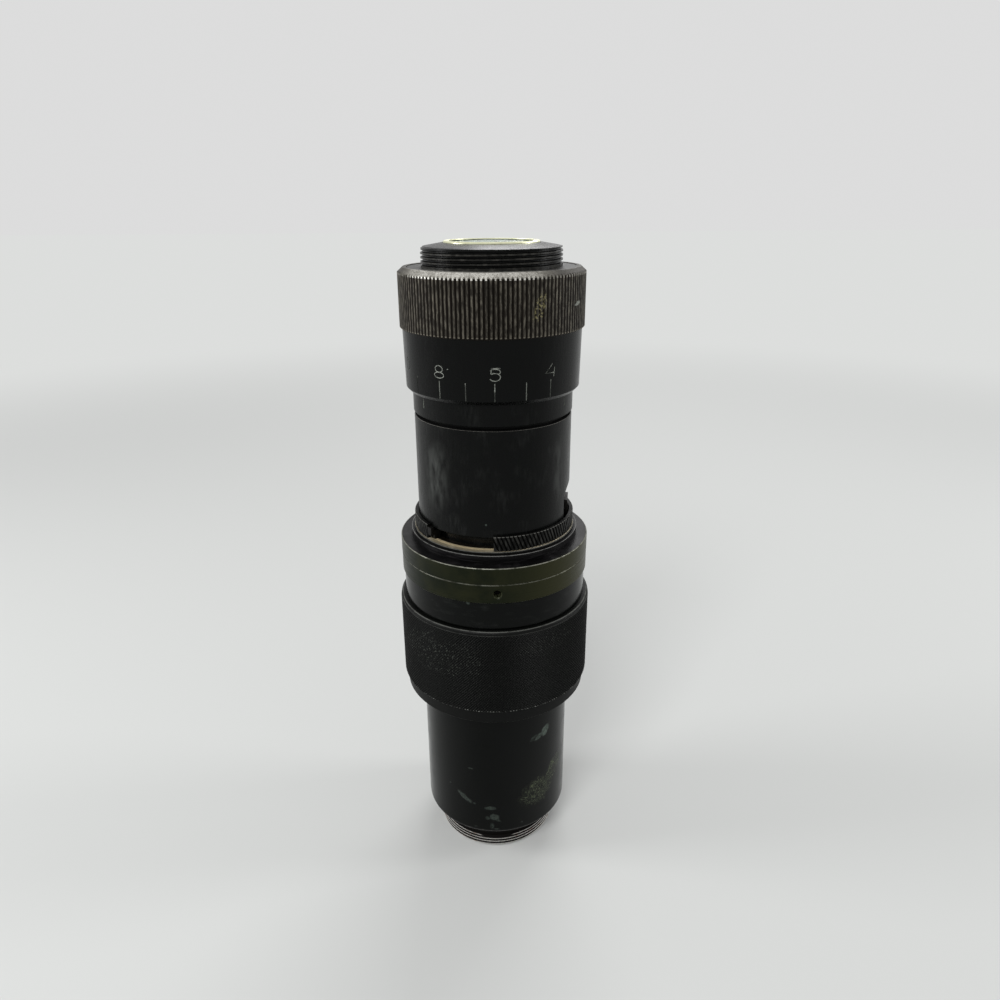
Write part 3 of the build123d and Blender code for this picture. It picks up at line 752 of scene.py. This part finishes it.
# Chips of the lower barrel: angle, height, width, tall, tilt, share of the full paleness
BARREL_CHIPS = [
    (42.2, 31.2, 3.0, 2.2, 56, 1.0),
    (36.6, 30.5, 3.0, 1.3, 25, 0.6),
    (31.8, 30.7, 2.0, 0.8, 14, 0.25),
    (29.5, 30.0, 1.2, 0.6, 0, 0.2),
    (-20.2, 23.7, 1.4, 0.45, 0, 0.25),
    (-39.7, 17.6, 0.6, 0.5, 0, 0.2),
    (-26.2, 15.4, 4.2, 1.35, -33, 0.42),
    (-17.5, 14.3, 0.8, 0.6, 0, 0.3),
    (-4.7, 13.5, 2.7, 1.05, 0, 0.5),
    (-1.4, 11.0, 2.4, 2.0, -25, 0.5),
    (-6.8, 10.7, 1.3, 1.1, 0, 0.25),
    (-3.4, 8.5, 1.0, 2.2, 0, 0.28),
    (1.0, 10.2, 2.0, 0.8, -30, 0.3),
    (21.1, 8.65, 0.6, 0.5, 0, 0.3),
    (-16.7, 7.9, 0.9, 0.3, 0, 0.2),
    (0.5, 7.7, 1.4, 0.5, 0, 0.3),
]

# Places that are rubbed: angle, height, width, tall, tilt
RUBBED_PLACES = [(36.0, 15.9, 9.4, 7.2, 16), (54.0, 19.4, 8.0, 4.6, 40)]

# Ticks of the drum that have lost paint: angle and the share that is lost
FADED_TICKS = [(38.3, 0.6), (-16.1, 0.75), (58.3, 0.5), (21.0, 0.35), (-33.8, 0.3), (-54.0, 0.88)]

# Heights and distances that the finishes follow
neck_height = barrel[0].z + 6 * MM
crescent_height = 2.3 * MM
crescent_rise = 5 * MM
smudge_and_sheen_height = tube[1].z - 10 * MM
faint_tick_height = scale[0].z + 2.3 * MM
line_margin = 0.25 * MM


def foot_marks(f, colour, rough):
    """The bare worn crests of the foot's thread, over its dark roots and neck."""
    foot = f.ramp(f.height, lower_thread_length, lower_end, 1.0, 0.0)
    crest = f.beyond(thread_radius, -0.09, -0.03)
    broken = f.patches(0.7 * MM, 0.25, 0.42, 0.35, 1.0, detail=4.0)
    crescent = f.math("SUBTRACT", f.height, f.times(f.turn, f.turn, crescent_rise))
    clean = f.ramp(crescent, crescent_height - 0.1 * MM, crescent_height + 0.1 * MM, 1.0, 0.0)
    bare = f.times(foot, crest, broken, clean)
    under = f.above(neck_height, -0.1, 0.1, 1.0, 0.0)
    colour = f.mix(under, colour, FOOT_DARK)
    tint = f.mix(f.patches(1.6 * MM, 0.55, 0.72), FOOT_BARE, COPPER)
    colour = f.mix(bare, colour, tint)
    f.set(Metallic=bare)
    return colour, f.blend(under, rough, f.blend(bare, 0.7, 0.27))


def barrel_finish():
    """Glossy black enamel with its chips, a rubbed patch with a few pale flecks, and the worn foot."""
    f = Finish("black_enamel_barrel")
    rough = f.patches(4 * MM, 0.3, 0.75, 0.14, 0.26, detail=2.0)
    wobble = f.noise(0.8 * MM, detail=4.0)
    marks = f.most(*[f.times(f.chip(*row[:5], wobble), row[5]) for row in BARREL_CHIPS])
    marks = f.times(marks, f.patches(0.4 * MM, 0.3, 0.65, 0.35, 1.0))
    scribble = f.noise(1.5 * MM, detail=3.0, rough=0.6, twist=2.2)
    hair = f.math("ABSOLUTE", f.math("SUBTRACT", scribble, 0.5))
    hairs = f.times(f.ramp(hair, 0.012, 0.03, 1.0, 0.0), 0.75)
    specks = f.patches(0.7 * MM, 0.62, 0.68, detail=2.0)
    patchy = f.noise(1.6 * MM, detail=3.0)
    area = f.most(*[f.chip(*place, patchy) for place in RUBBED_PLACES])
    rubbed = f.times(area, f.most(hairs, specks, 0.05))
    colour = f.mix(rubbed, BLACK, FLECK)
    colour = f.mix(marks, colour, CHIP)
    rough = f.blend(f.most(marks, rubbed), rough, 0.6)
    colour, rough = foot_marks(f, colour, rough)
    f.set(Base_Color=colour, Roughness=rough)
    f.bump(f.noise(1.1 * MM, detail=1.0), 0.004 * MM)
    return f.material


def band_finish():
    """The glossy black band, with one chip at its top edge."""
    f = Finish("black_enamel_band")
    rough = f.patches(4 * MM, 0.3, 0.75, 0.12, 0.22, detail=2.0)
    wobble = f.noise(0.8 * MM, detail=4.0)
    mark = f.times(f.chip(-15.2, band[1].z / MM - 0.35, 0.7, 0.6, 0, wobble), 0.35)
    haze = f.times(f.ramp(f.noise(vector=f.wrapped(3 * MM, 1 * MM), detail=4.0), 0.5, 0.8), 0.08)
    colour = f.mix(haze, BLACK, DUST)
    f.set(Base_Color=f.mix(mark, colour, CHIP), Roughness=rough)
    f.bump(f.noise(1.1 * MM, detail=1.0), 0.004 * MM)
    return f.material


def satin_finish(name, haze_share):
    """Satin black with a faint lengthwise film."""
    f = Finish(name)
    haze = f.patches(5 * MM, 0.45, 0.75, detail=4.0)
    grain = f.noise(vector=f.wrapped(0.5 * MM, 2.5 * MM), detail=3.0)
    film = f.times(haze, f.ramp(grain, 0.35, 0.7), haze_share)
    colour = f.mix(film, SATIN_BLACK, DUST)
    f.bump(f.noise(0.5 * MM), 0.003 * MM)
    return f, colour, f.ramp(grain, 0.3, 0.7, 0.24, 0.34)


def tube_finish():
    """The main tube: hazy at its sides and painted with a sheen there, with one pale dot, a thin worn
    line round its top edge and painted shade on its top face inside it.
    """
    f, colour, rough = satin_finish("black_satin_tube", 0.1)
    # Painted sheen with smudge: the pale haze on the tube's sides stands in partly for a soft vertical
    # reflection.
    wisp = f.ramp(f.noise(vector=f.wrapped(1.3 * MM, 3.5 * MM), detail=4.0), 0.3, 0.75)
    tall = f.between(f.height, smudge_and_sheen_height - 2 * MM, smudge_and_sheen_height + 2 * MM, 6 * MM)
    sides = f.most(f.beside(-45.0, 1, 17), f.times(f.beside(54.0, 0, 9), 0.8))
    smudge_and_sheen = f.times(sides, tall, wisp)
    colour = f.mix(f.times(smudge_and_sheen, 0.5), colour, DUST)
    dot = f.times(f.chip(-5.2, tube[1].z / MM - 18.1, 0.45, 0.45, 0, 0.5), 0.5)
    colour = f.mix(dot, colour, CHIP)
    rim = f.times(
        f.above(tube[1].z, -0.1, -0.05),
        f.beyond(tube_radius, -0.1, -0.06),
        f.to_sides(15, 50, 0.5, 0.8),
    )
    # Painted shade: the top face inside the worn line is painted deeper black and matte, as shade in
    # the gap under the index ring.
    shaded_top_face = f.times(
        f.above(tube[1].z, -0.03, -0.01),
        f.beyond(tube_radius, -0.22, -0.16, 1.0, 0.0),
    )
    colour = f.mix(rim, f.mix(shaded_top_face, colour, DEEP_BLACK), WORN)
    rough = f.blend(shaded_top_face, f.blend(smudge_and_sheen, rough, 0.5), 0.9)
    f.set(Base_Color=colour, Roughness=rough, Metallic=f.times(rim, 0.6))
    return f.material


def index_finish():
    """The index ring with its two pale lines."""
    f, colour, rough = satin_finish("black_satin_index", 0.06)
    low = index[0].z + index_line_base - line_margin
    high = index[0].z + index_line_base + index_line_length + line_margin
    cut = f.times(
        f.beyond(index_radius, -0.04, -0.02, 1.0, 0.0),
        f.between(f.height, low, high, 0.1 * MM),
    )
    colour = f.mix(f.times(cut, 0.85), colour, ENGRAVED)
    f.set(Base_Color=colour, Roughness=rough)
    return f.material


def collar_finish():
    """The black front collar, with a painted grey sheen and a painted brownish shade on its low cone,
    and rubbed a little on its thread's crests.
    """
    f, colour, rough = satin_finish("black_satin_collar", 0.06)
    # Painted sheen: the low cone is painted a grainy grey, strongest at the front, and brownish
    # towards the lens cell as painted shade.
    top = f.above(collar[1].z + cone_edge_rise, 0, 0.1)
    outwards = f.ramp(f.radius, cone_top_radius + 0.6 * MM, cone_edge_radius - 0.3 * MM)
    rubbed = f.times(
        top,
        f.patches(0.3 * MM, 0.35, 0.65, 0.5, 1.0, detail=5.0, rough=0.65),
        f.patches(4 * MM, 0.3, 0.65, 0.4, 1.0, detail=3.0),
        f.to_sides(35, 75, 1.0, 0.45),
        f.blend(outwards, 0.5, 1.0),
    )
    tint = f.mix(outwards, CONE_SHADE_BROWN, CONE_SHEEN_GREY)
    colour = f.mix(f.times(rubbed, 0.5), colour, tint)
    crest = f.times(
        f.beyond(thread_radius, -0.07, -0.02),
        f.patches(1.1 * MM, 0.4, 0.72, 0.25, 1.0),
    )
    colour = f.mix(f.times(crest, 0.08), colour, WORN)
    f.set(Base_Color=colour, Roughness=rough)
    return f.material


def grip_lines(f):
    """The worn lines of the grip's upper edge, above its knurl and round its top face."""
    outer_line = f.times(
        f.between(f.height, grip[1].z - 0.8 * MM, grip[1].z - 0.68 * MM, 0.03 * MM),
        f.beyond(grip_radius, -0.3, -0.2),
    )
    inner_line = f.times(
        f.above(grip[1].z, -0.14, -0.08),
        f.beyond(grip_radius, -0.62, -0.5),
    )
    return f.most(f.times(outer_line, 0.3), inner_line)


def grip_finish():
    """Matte black diamonds, rubbed grey in places, with pale crests at the foot and two worn edges."""
    f = Finish("black_knurl_grip")
    crest = f.beyond(grip_radius, -0.11, -0.05)
    patchy = f.noise(3 * MM, detail=3.0)
    handled = f.most(
        f.chip(-36.0, grip[1].z / MM - 7.0, 17.0, 10.0, 0, patchy),
        f.times(f.chip(32.0, grip[1].z / MM - 4.0, 12.0, 5.0, 0, patchy), 0.5),
    )
    fine = f.patches(0.4 * MM, 0.54, 0.66, detail=2.0)
    knurled = f.between(f.height, knurl_low, knurl_high, knurl_runout)
    worn = f.times(crest, f.most(handled, 0.12), fine, knurled)
    foot = f.times(
        f.between(f.height, knurl_low + 0.15 * MM, knurl_low + 0.65 * MM, 0.05 * MM),
        crest,
        f.patches(0.6 * MM, 0.45, 0.6),
    )
    edge = f.times(grip_lines(f), f.patches(2 * MM, 0.3, 0.6, 0.3, 1.0))
    colour = f.mix(f.times(worn, 0.4), GRIP_BLACK, GRIP_RUBBED)
    colour = f.mix(f.times(foot, 0.45), colour, GRIP_FOOT)
    colour = f.mix(f.times(edge, 0.25), colour, GRIP_EDGE)
    rough = f.blend(worn, 0.46, 0.34)
    f.set(Base_Color=colour, Roughness=rough)
    f.bump(f.noise(0.25 * MM), 0.01 * MM)
    return f.material


def drum_paint(f):
    """How much pale paint is left in the drum's engraving."""
    drum_low = scale[0].z + drum_lip_height
    radii = (drum_bottom_radius, drum_top_radius)
    skin = f.ramp(f.height, drum_low, scale_knurl_low, *radii, kind="LINEAR")
    depth = f.math("SUBTRACT", skin, f.radius)
    on_drum = f.between(f.height, drum_low + 0.05 * MM, scale_knurl_low - MM, 0.02 * MM)
    figures = f.above(scale[0].z + figure_base, -1, -0.5)
    lost = [f.times(f.beside(angle), share) for angle, share in FADED_TICKS]
    lost_foot = f.above(faint_tick_height, 0, 0.5, 0.8, 0.0)
    kept = f.flip(f.most(f.times(f.beside(1.6), lost_foot), *lost))
    left = f.times(
        f.patches(0.5 * MM, 0.3, 0.55, 0.4, 1.0, detail=3.0),
        f.blend(figures, f.times(kept, 0.8), 0.7),
        f.to_sides(56, 66, 1.0, 0.35),
    )
    return f.times(f.ramp(depth, 0.02 * MM, 0.04 * MM), on_drum, left)


def tooth_wear(f, on_knurl):
    """How bare the scale ring's teeth are: along their crests, at their foot and at their tips, the
    tips with a painted sheen at the front left.
    """
    crest = f.beyond(scale_knurl_radius, -0.09, -0.03)
    lengthwise = f.noise(vector=f.wrapped(0.4 * MM, 1.4 * MM), detail=6.0, rough=0.65)
    streak = f.ramp(lengthwise, 0.37, 0.68, 0.03, 1.0)
    blotch = f.patches(3.2 * MM, 0.3, 0.7, 0.6, 1.0, detail=4.0)
    teeth = f.times(on_knurl, crest, streak, blotch)
    low = f.above(scale_knurl_low, 0.3, 0.6, 1.0, 0.0)
    foot = f.times(on_knurl, crest, low)
    # The tips are bare, and brighter at the front left as a painted sheen.
    tips = f.times(
        crest,
        f.between(f.height, scale_knurl_top - 0.3 * MM, scale_knurl_top + 0.1 * MM, 0.05 * MM),
        f.patches(0.8 * MM, 0.3, 0.5, 0.3, 1.0),
        f.most(f.front_left_sheen(), 0.4),
    )
    return f.times(teeth, 0.42), f.times(foot, 0.5), tips


def scale_finish():
    """The scale ring: rubbed teeth over dark brown, a bare worn top with a painted sheen at the front
    left, and a black engraved drum.
    """
    f = Finish("worn_knurl_scale")
    on_knurl = f.above(scale_knurl_low, -0.05, 0.05)
    teeth, foot, tips = tooth_wear(f, on_knurl)
    mottle, worn_and_lit_top = f.worn_face_and_sheen()
    # Painted sheen: the worn top is brighter at the front left.
    top = f.times(f.above(scale_knurl_top, -0.12, 0.02), worn_and_lit_top)
    bare = f.most(teeth, foot, tips, top)
    black = f.mix(on_knurl, SATIN_BLACK, BROWN)
    colour = f.mix(bare, black, f.mix(f.most(tips, top), TOOTH, SILVER))
    colour = f.mix(drum_paint(f), colour, ENGRAVED)
    wobble = f.noise(0.5 * MM, detail=4.0)
    patch = f.times(
        f.chip(28.4, scale_knurl_low / MM + 5.2, 2.1, 5.2, -18, f.noise(0.9 * MM, detail=3.0)),
        f.ramp(wobble, 0.5, 0.58),
    )
    colour = f.mix(f.times(patch, 0.6), colour, OLD_LACQUER)
    scuff = f.times(f.chip(61.0, scale_knurl_low / MM + 5.0, 2.0, 0.8, 10, wobble), 0.6)
    colour = f.mix(scuff, colour, SCUFF)
    grain = f.noise(vector=f.wrapped(0.5 * MM, 2.5 * MM))
    rough = f.blend(on_knurl, f.ramp(grain, 0.3, 0.7, 0.2, 0.3), 0.46)
    f.set(Base_Color=colour, Roughness=rough, Metallic=f.times(bare, 0.95))
    f.bump(f.times(mottle, on_knurl), 0.02 * MM)
    return f.material


def head_finish():
    """The fixed flange inside the scale ring's mouth: mottled bare with a painted sheen at its top,
    and dark below.
    """
    f = Finish("worn_knurl_head")
    mottle, bare = f.worn_face_and_sheen()
    bare = f.times(bare, 0.35, f.above(head[1].z, -1, -0.9))
    f.set(Base_Color=f.mix(bare, DEEP_BLACK, SILVER), Metallic=bare, Roughness=0.4)
    f.bump(mottle, 0.02 * MM)
    return f.material


def lock_wear(f):
    """How bare the lock ring is: its crests, its top edge, its foot's edge and its window's floor."""
    floor_z = lock[1].z - lock_rim_height
    crest = f.times(
        f.beyond(lock_rim_radius, -0.05, -0.01),
        f.ramp(f.noise(vector=f.wrapped(0.6 * MM, 2 * MM), detail=3.0), 0.4, 0.65),
        f.above(floor_z, 0, 0.2),
    )
    edge = f.times(
        f.above(lock[1].z, -0.12, -0.06),
        f.beyond(lock_rim_radius, -0.16, -0.1),
        f.patches(0.9 * MM, 0.3, 0.55, 0.25, 1.0),
    )
    base_edge = f.times(
        f.between(f.height, floor_z - 0.1 * MM, floor_z + 0.03 * MM, 0.02 * MM),
        f.beyond(lock_radius, -0.12, -0.06),
        f.patches(1.8 * MM, 0.3, 0.6, 0.35, 0.8),
    )
    floor = f.times(
        f.between(f.height, floor_z - 0.02 * MM, floor_z + 0.02 * MM, 0.02 * MM),
        f.beyond(lock_radius, -0.18, -0.13, 1.0, 0.0),
    )
    return f.times(crest, 0.06), f.times(edge, 0.3), f.times(base_edge, 0.4), floor


def lock_finish():
    """The lock ring: nearly black, with thin bright edges and a bare brass floor in its window."""
    f = Finish("black_knurl_lock")
    turned = f.noise(vector=f.wrapped(9 * MM, 0.1 * MM), detail=2.0)
    *edges, floor = lock_wear(f)
    bare = f.most(*edges, floor)
    brass = f.mix(f.ramp(turned, 0.4, 0.62), LEDGE_DARK, LEDGE_BRIGHT)
    colour = f.mix(bare, LOCK_BLACK, f.mix(floor, LOCK_EDGE, brass))
    rough = f.ramp(turned, 0.3, 0.7, 0.4, 0.55)
    f.set(Base_Color=colour, Roughness=rough, Metallic=f.times(bare, 0.45))
    f.bump(f.noise(0.3 * MM), 0.006 * MM)
    return f.material


def ring_finish(name, box, high, strength):
    """Olive-bronzed brass with turning marks, brown patina, a painted sheen that lightens its right
    side, and thin worn lines on its two edges.
    """
    f = Finish(name)
    turned = f.noise(vector=f.wrapped(14 * MM, 0.12 * MM), detail=2.0)
    low, outer = box[0].z, box[1].x
    # Painted sheen: the right side is painted lighter brown, mixed with patches of patina.
    patina = f.patches(6 * MM, 0.35, 0.7, detail=4.0)
    sheen_to_right = f.ramp(f.math("SINE", f.turn), -0.17, 0.94)
    colour = f.mix(f.most(f.times(patina, 0.4), sheen_to_right), OLIVE, OLIVE_BROWN_AND_SHEEN)
    edges = f.most(
        f.above(high, -0.15, -0.1),
        f.above(low, 0.05, 0.1, 1.0, 0.0),
    )
    outside = f.times(
        f.beyond(outer, -0.17, -0.15),
        f.above(high, 0.01, 0.03, 1.0, 0.0),
    )
    broken = f.patches(1.3 * MM, 0.3, 0.6, 0.08, 0.8, detail=3.0)
    worn = f.times(edges, outside, broken, strength)
    colour = f.mix(worn, colour, RING_EDGE)
    return f, colour, worn, turned


def clamp_finish():
    """The lower olive ring, rubbed round its screw hole."""
    f, colour, worn, turned = ring_finish("olive_bronze_clamp", clamp, clamp[1].z, 0.3)
    beside = f.times(f.math("SUBTRACT", f.turn, math.radians(screw_angle)), clamp_radius)
    over = f.math("SUBTRACT", f.height, (clamp[0].z + clamp[1].z) / 2)
    away = f.reach(beside, over)
    rubbed = f.times(f.between(away, 0.62 * MM, 0.85 * MM, 0.08 * MM), f.patches(0.5 * MM, 0.35, 0.6))
    colour = f.mix(f.times(rubbed, 0.3), colour, SCREW_EDGE)
    rough = f.ramp(turned, 0.3, 0.7, 0.26, 0.4)
    f.set(Base_Color=colour, Metallic=f.blend(worn, 0.2, 0.9), Roughness=rough)
    f.bump(turned, 0.003 * MM)
    return f.material


def flange_finish():
    """The upper olive ring, black on its top face, with a worn line round its collar."""
    side_top = clamp[1].z + flange_height
    f, colour, worn, turned = ring_finish("olive_bronze_flange", flange, side_top, 0.6)
    top = f.times(
        f.above(side_top, -0.04, -0.01),
        f.beyond(flange_radius, -0.2, -0.16, 1.0, 0.0),
    )
    scratch = f.noise(vector=f.wrapped(5 * MM, 0.2 * MM), detail=5.0, rough=0.7)
    face = f.mix(f.times(f.ramp(scratch, 0.45, 0.7), 0.3), FACE_BLACK, FACE_SCRATCH)
    colour = f.mix(top, colour, face)
    collar_edge = f.times(
        f.above(flange[1].z, -0.12, -0.06),
        f.beyond(flange_collar_radius, -0.14, -0.08),
        f.patches(1.5 * MM, 0.3, 0.55, 0.3, 1.0),
    )
    colour = f.mix(f.times(collar_edge, 0.45), colour, COLLAR_EDGE)
    metal = f.blend(top, f.blend(worn, 0.2, 0.9), 0.05)
    f.set(Base_Color=colour, Metallic=metal, Roughness=f.ramp(turned, 0.3, 0.7, 0.28, 0.42))
    f.bump(turned, 0.003 * MM)
    return f.material


def brass_finish(name, colour, stain, roughness):
    """Turned brass with fine rings and a little tarnish."""
    f = Finish(name, PLAIN_GLOSS)
    rings = f.noise(vector=f.wrapped(9 * MM, 0.1 * MM), detail=2.0)
    tarnish = f.patches(1.4 * MM, 0.45, 0.7, detail=4.0)
    colour = f.mix(f.times(tarnish, 0.5), colour, stain)
    f.set(Metallic=1.0, Roughness=f.ramp(rings, 0.3, 0.7, roughness, roughness + 0.14))
    f.bump(rings, 0.004 * MM)
    return f, colour


def bush_finish():
    """The guide bush: bright where its top shows as a ledge, dark elsewhere from tarnish and painted
    shade.
    """
    f, colour = brass_finish("bare_brass_bush", BRASS, BUSH_STAIN, 0.28)
    # Painted shade with tarnish: all but the ledge's outer edge is painted near black, as the shade
    # under the tube.
    ledge = f.times(
        f.above(bush[1].z, -0.1, -0.04),
        f.beyond(bush_ledge_radius, -0.1, 0),
    )
    f.set(Base_Color=f.mix(ledge, BUSH_SHADE_AND_TARNISH, colour), Metallic=0.45)
    return f.material


def plain_brass_finish():
    """The hidden brass pieces."""
    f, colour = brass_finish("bare_brass", BRASS, BRASS_STAIN, 0.24)
    f.set(Base_Color=colour)
    return f.material


def cell_finish():
    """The front cell: pale bare rim over a side that has gone dark."""
    f, colour = brass_finish("pale_brass", PALE_BRASS, CELL_STAIN, 0.28)
    rim = f.ramp(f.height, cell[1].z - cell_rim_bare, cell[1].z - cell_rim_bare + 0.08 * MM)
    outer = f.beyond(cell[1].x, -0.5, -0.38)
    grit = f.patches(0.18 * MM, 0.45, 0.65, detail=3.0)
    dull = f.mix(grit, CELL_DULL, CELL_GRIT)
    dull = f.mix(f.above(cell[1].z, -1, -0.9), CELL_DARK, dull)
    top_line = f.above(cell[1].z, -0.17, -0.12)
    bare = f.most(f.times(rim, outer), top_line)
    f.set(Base_Color=f.mix(bare, dull, colour), Metallic=bare)
    return f.material


def steel_finish(name, colour, roughness):
    """Plain steel with a faint grain."""
    f = Finish(name, PLAIN_GLOSS)
    grain = f.noise(0.4 * MM, detail=4.0)
    stained = f.mix(f.times(f.ramp(grain, 0.4, 0.7), 0.4), colour, BLACK)
    f.set(Base_Color=stained, Metallic=0.9, Roughness=roughness)
    f.bump(grain, 0.004 * MM)
    return f.material


def stop_finish():
    """Dead black for what lies inside the tube."""
    f = Finish("stop_black")
    f.set(Base_Color=f.mix(f.noise(0.8 * MM), STOP_BLACK, STOP_GREY), Roughness=0.85)
    return f.material


def glass_finish():
    """Clear optical glass with a green cast, a film of dust and fine pale specks that are partly a
    painted sparkle.
    """
    f = Finish("lens_glass", PLAIN_GLOSS)
    # Painted sparkle: the pale specks in the dust stand in partly for glints of light on the glass.
    grit = f.patches(0.2 * MM, 0.48, 0.6, detail=4.0, rough=0.7)
    pale = f.patches(0.16 * MM, 0.5, 0.62, detail=2.0)
    dust = f.mix(pale, GLASS_DUST, GLASS_SPECKS_AND_SPARKLE)
    f.set(
        Base_Color=f.mix(f.times(grit, 0.7), GLASS, dust),
        Transmission_Weight=f.flip(f.times(grit, 0.7)),
        IOR=1.52,
        Roughness=f.blend(grit, 0.06, 0.55),
    )
    f.bump(grit, 0.02 * MM)
    return f.material


def dress(node, material):
    """Gives a CAD node that stays its material."""
    for place in frame["nodes"][node].material_slots:
        place.material = material


def dress_piece(piece, material):
    """Gives a new piece its one material."""
    piece.data.materials.clear()
    piece.data.materials.append(material)
    for face in piece.data.polygons:
        face.material_index = 0


dress_piece(barrel_piece, barrel_finish())
dress_piece(collar_piece, collar_finish())
dress_piece(grip_piece, grip_finish())
dress_piece(scale_piece, scale_finish())
dress_piece(index_piece, index_finish())
inner_rings = ("rear_lens_ring", "relay_lens_ring", "carrier_lens_ring")
inner_tubes = ("aperture_stop", "lens_carrier")
rear_glass = ("rear_lens_crown", "rear_lens_flint", "relay_lens")
front_glass = ("carrier_lens", "front_lens_crown", "front_lens_flint")
dressed = [
    (band_finish(), ("black_band",)),
    (clamp_finish(), ("clamp_ring",)),
    (flange_finish(), ("top_flange",)),
    (tube_finish(), ("main_tube",)),
    (head_finish(), ("head_sleeve",)),
    (lock_finish(), ("lock_ring",)),
    (bush_finish(), ("guide_bush",)),
    (plain_brass_finish(), ("focus_carriage", "grip_retainer")),
    (cell_finish(), ("front_lens_cell", "front_lens_ring")),
    (steel_finish("black_steel", BLACK_STEEL, 0.45), ("set_screw", "guide_key", "stop_lug")),
    (steel_finish("steel", STEEL, 0.3), ("drive_pins", "carrier_pin")),
    (stop_finish(), inner_rings + inner_tubes),
    (glass_finish(), rear_glass + front_glass),
]
for material, wearers in dressed:
    for node in wearers:
        dress(node, material)


# Stage, camera and light

floor_reach = 4.0
fade_start = 0.15
fade_end = 0.7
sky_strength = 0.33
seen_strength = 0.72
LAMPS = [
    ("back_lamp", (0.12, 0.42, 0.46), (0.36, 0.30), 1.4),
    ("left_lamp", (-0.48, -0.02, 0.26), (0.16, 0.34), 1.2),
    ("right_lamp", (0.50, 0.04, 0.24), (0.12, 0.30), 0.9),
    ("front_lamp", (-0.16, -0.42, 0.50), (0.24, 0.20), 2.0),
]


def make_floor():
    """A wide pale floor that fades into the background away from the object."""
    signs = ((-1, -1), (1, -1), (1, 1), (-1, 1))
    corners = [(x * floor_reach, y * floor_reach, 0) for x, y in signs]
    floor = mesh_object("floor", corners, [(0, 1, 2, 3)])
    material = bpy.data.materials.new("floor")
    material.use_nodes = True
    nodes, links = material.node_tree.nodes, material.node_tree.links
    shader = nodes["Principled BSDF"]
    shader.inputs["Base Color"].default_value = FLOOR
    shader.inputs["Roughness"].default_value = 0.7
    shader.inputs["Specular IOR Level"].default_value = 0.15
    glow = nodes.new("ShaderNodeEmission")
    glow.inputs["Color"].default_value = BACKDROP
    spot = nodes.new("ShaderNodeTexCoord")
    length = nodes.new("ShaderNodeVectorMath")
    length.operation = "LENGTH"
    links.new(spot.outputs["Object"], length.inputs[0])
    far = nodes.new("ShaderNodeMapRange")
    far.interpolation_type = "SMOOTHSTEP"
    for socket, number in zip(list(far.inputs)[1:5], (fade_start, fade_end, 0.0, 1.0)):
        socket.default_value = number
    links.new(length.outputs["Value"], far.inputs[0])
    joined = nodes.new("ShaderNodeMixShader")
    links.new(far.outputs[0], joined.inputs[0])
    links.new(shader.outputs[0], joined.inputs[1])
    links.new(glow.outputs[0], joined.inputs[2])
    links.new(joined.outputs[0], nodes["Material Output"].inputs["Surface"])
    floor.data.materials.append(material)


def make_world():
    """A plain even sky, seen pale by the camera and in reflections."""
    world = bpy.data.worlds.new("studio")
    world.use_nodes = True
    nodes, links = world.node_tree.nodes, world.node_tree.links
    sky = nodes["Background"]
    sky.inputs["Color"].default_value = (1.0, 1.0, 1.0, 1.0)
    paths = nodes.new("ShaderNodeLightPath")
    seen = paths.outputs["Is Camera Ray"]
    for ray in ("Is Transmission Ray", "Is Glossy Ray"):
        either = nodes.new("ShaderNodeMath")
        either.operation = "MAXIMUM"
        links.new(seen, either.inputs[0])
        links.new(paths.outputs[ray], either.inputs[1])
        seen = either.outputs[0]
    strength = nodes.new("ShaderNodeMapRange")
    for socket, number in zip(list(strength.inputs)[1:5], (0.0, 1.0, sky_strength, seen_strength)):
        socket.default_value = number
    links.new(seen, strength.inputs[0])
    links.new(strength.outputs[0], sky.inputs["Strength"])
    bpy.context.scene.world = world


def make_lamp(name, place, target, size, power):
    """A soft square lamp that faces a target."""
    data = bpy.data.lights.new(name, "AREA")
    data.shape = "RECTANGLE"
    data.size, data.size_y = size
    data.energy = power
    lamp = bpy.data.objects.new(name, data)
    lamp.location = place
    facing = Vector(place) - Vector(target)
    lamp.rotation_euler = facing.to_track_quat("Z", "Y").to_euler()
    bpy.context.scene.collection.objects.link(lamp)


def make_camera():
    """The photograph's camera."""
    data = bpy.data.cameras.new("photo_camera")
    data.lens = camera_focal
    data.sensor_width = sensor_width
    data.clip_start = nearest_seen
    data.clip_end = farthest_seen
    camera = bpy.data.objects.new("photo_camera", data)
    tilt = Matrix.Rotation(math.radians(90 - camera_pitch), 4, "X")
    roll = Matrix.Rotation(math.radians(-camera_roll), 4, "Z")
    camera.matrix_world = Matrix.Translation(camera_place) @ tilt @ roll
    bpy.context.scene.collection.objects.link(camera)
    bpy.context.scene.camera = camera


make_floor()
make_world()
middle = (0, 0, cad_high.z / 2)
for name, place, size, power in LAMPS:
    make_lamp(name, place, middle, size, power)
make_camera()
bpy.context.scene.view_settings.view_transform = "Standard"
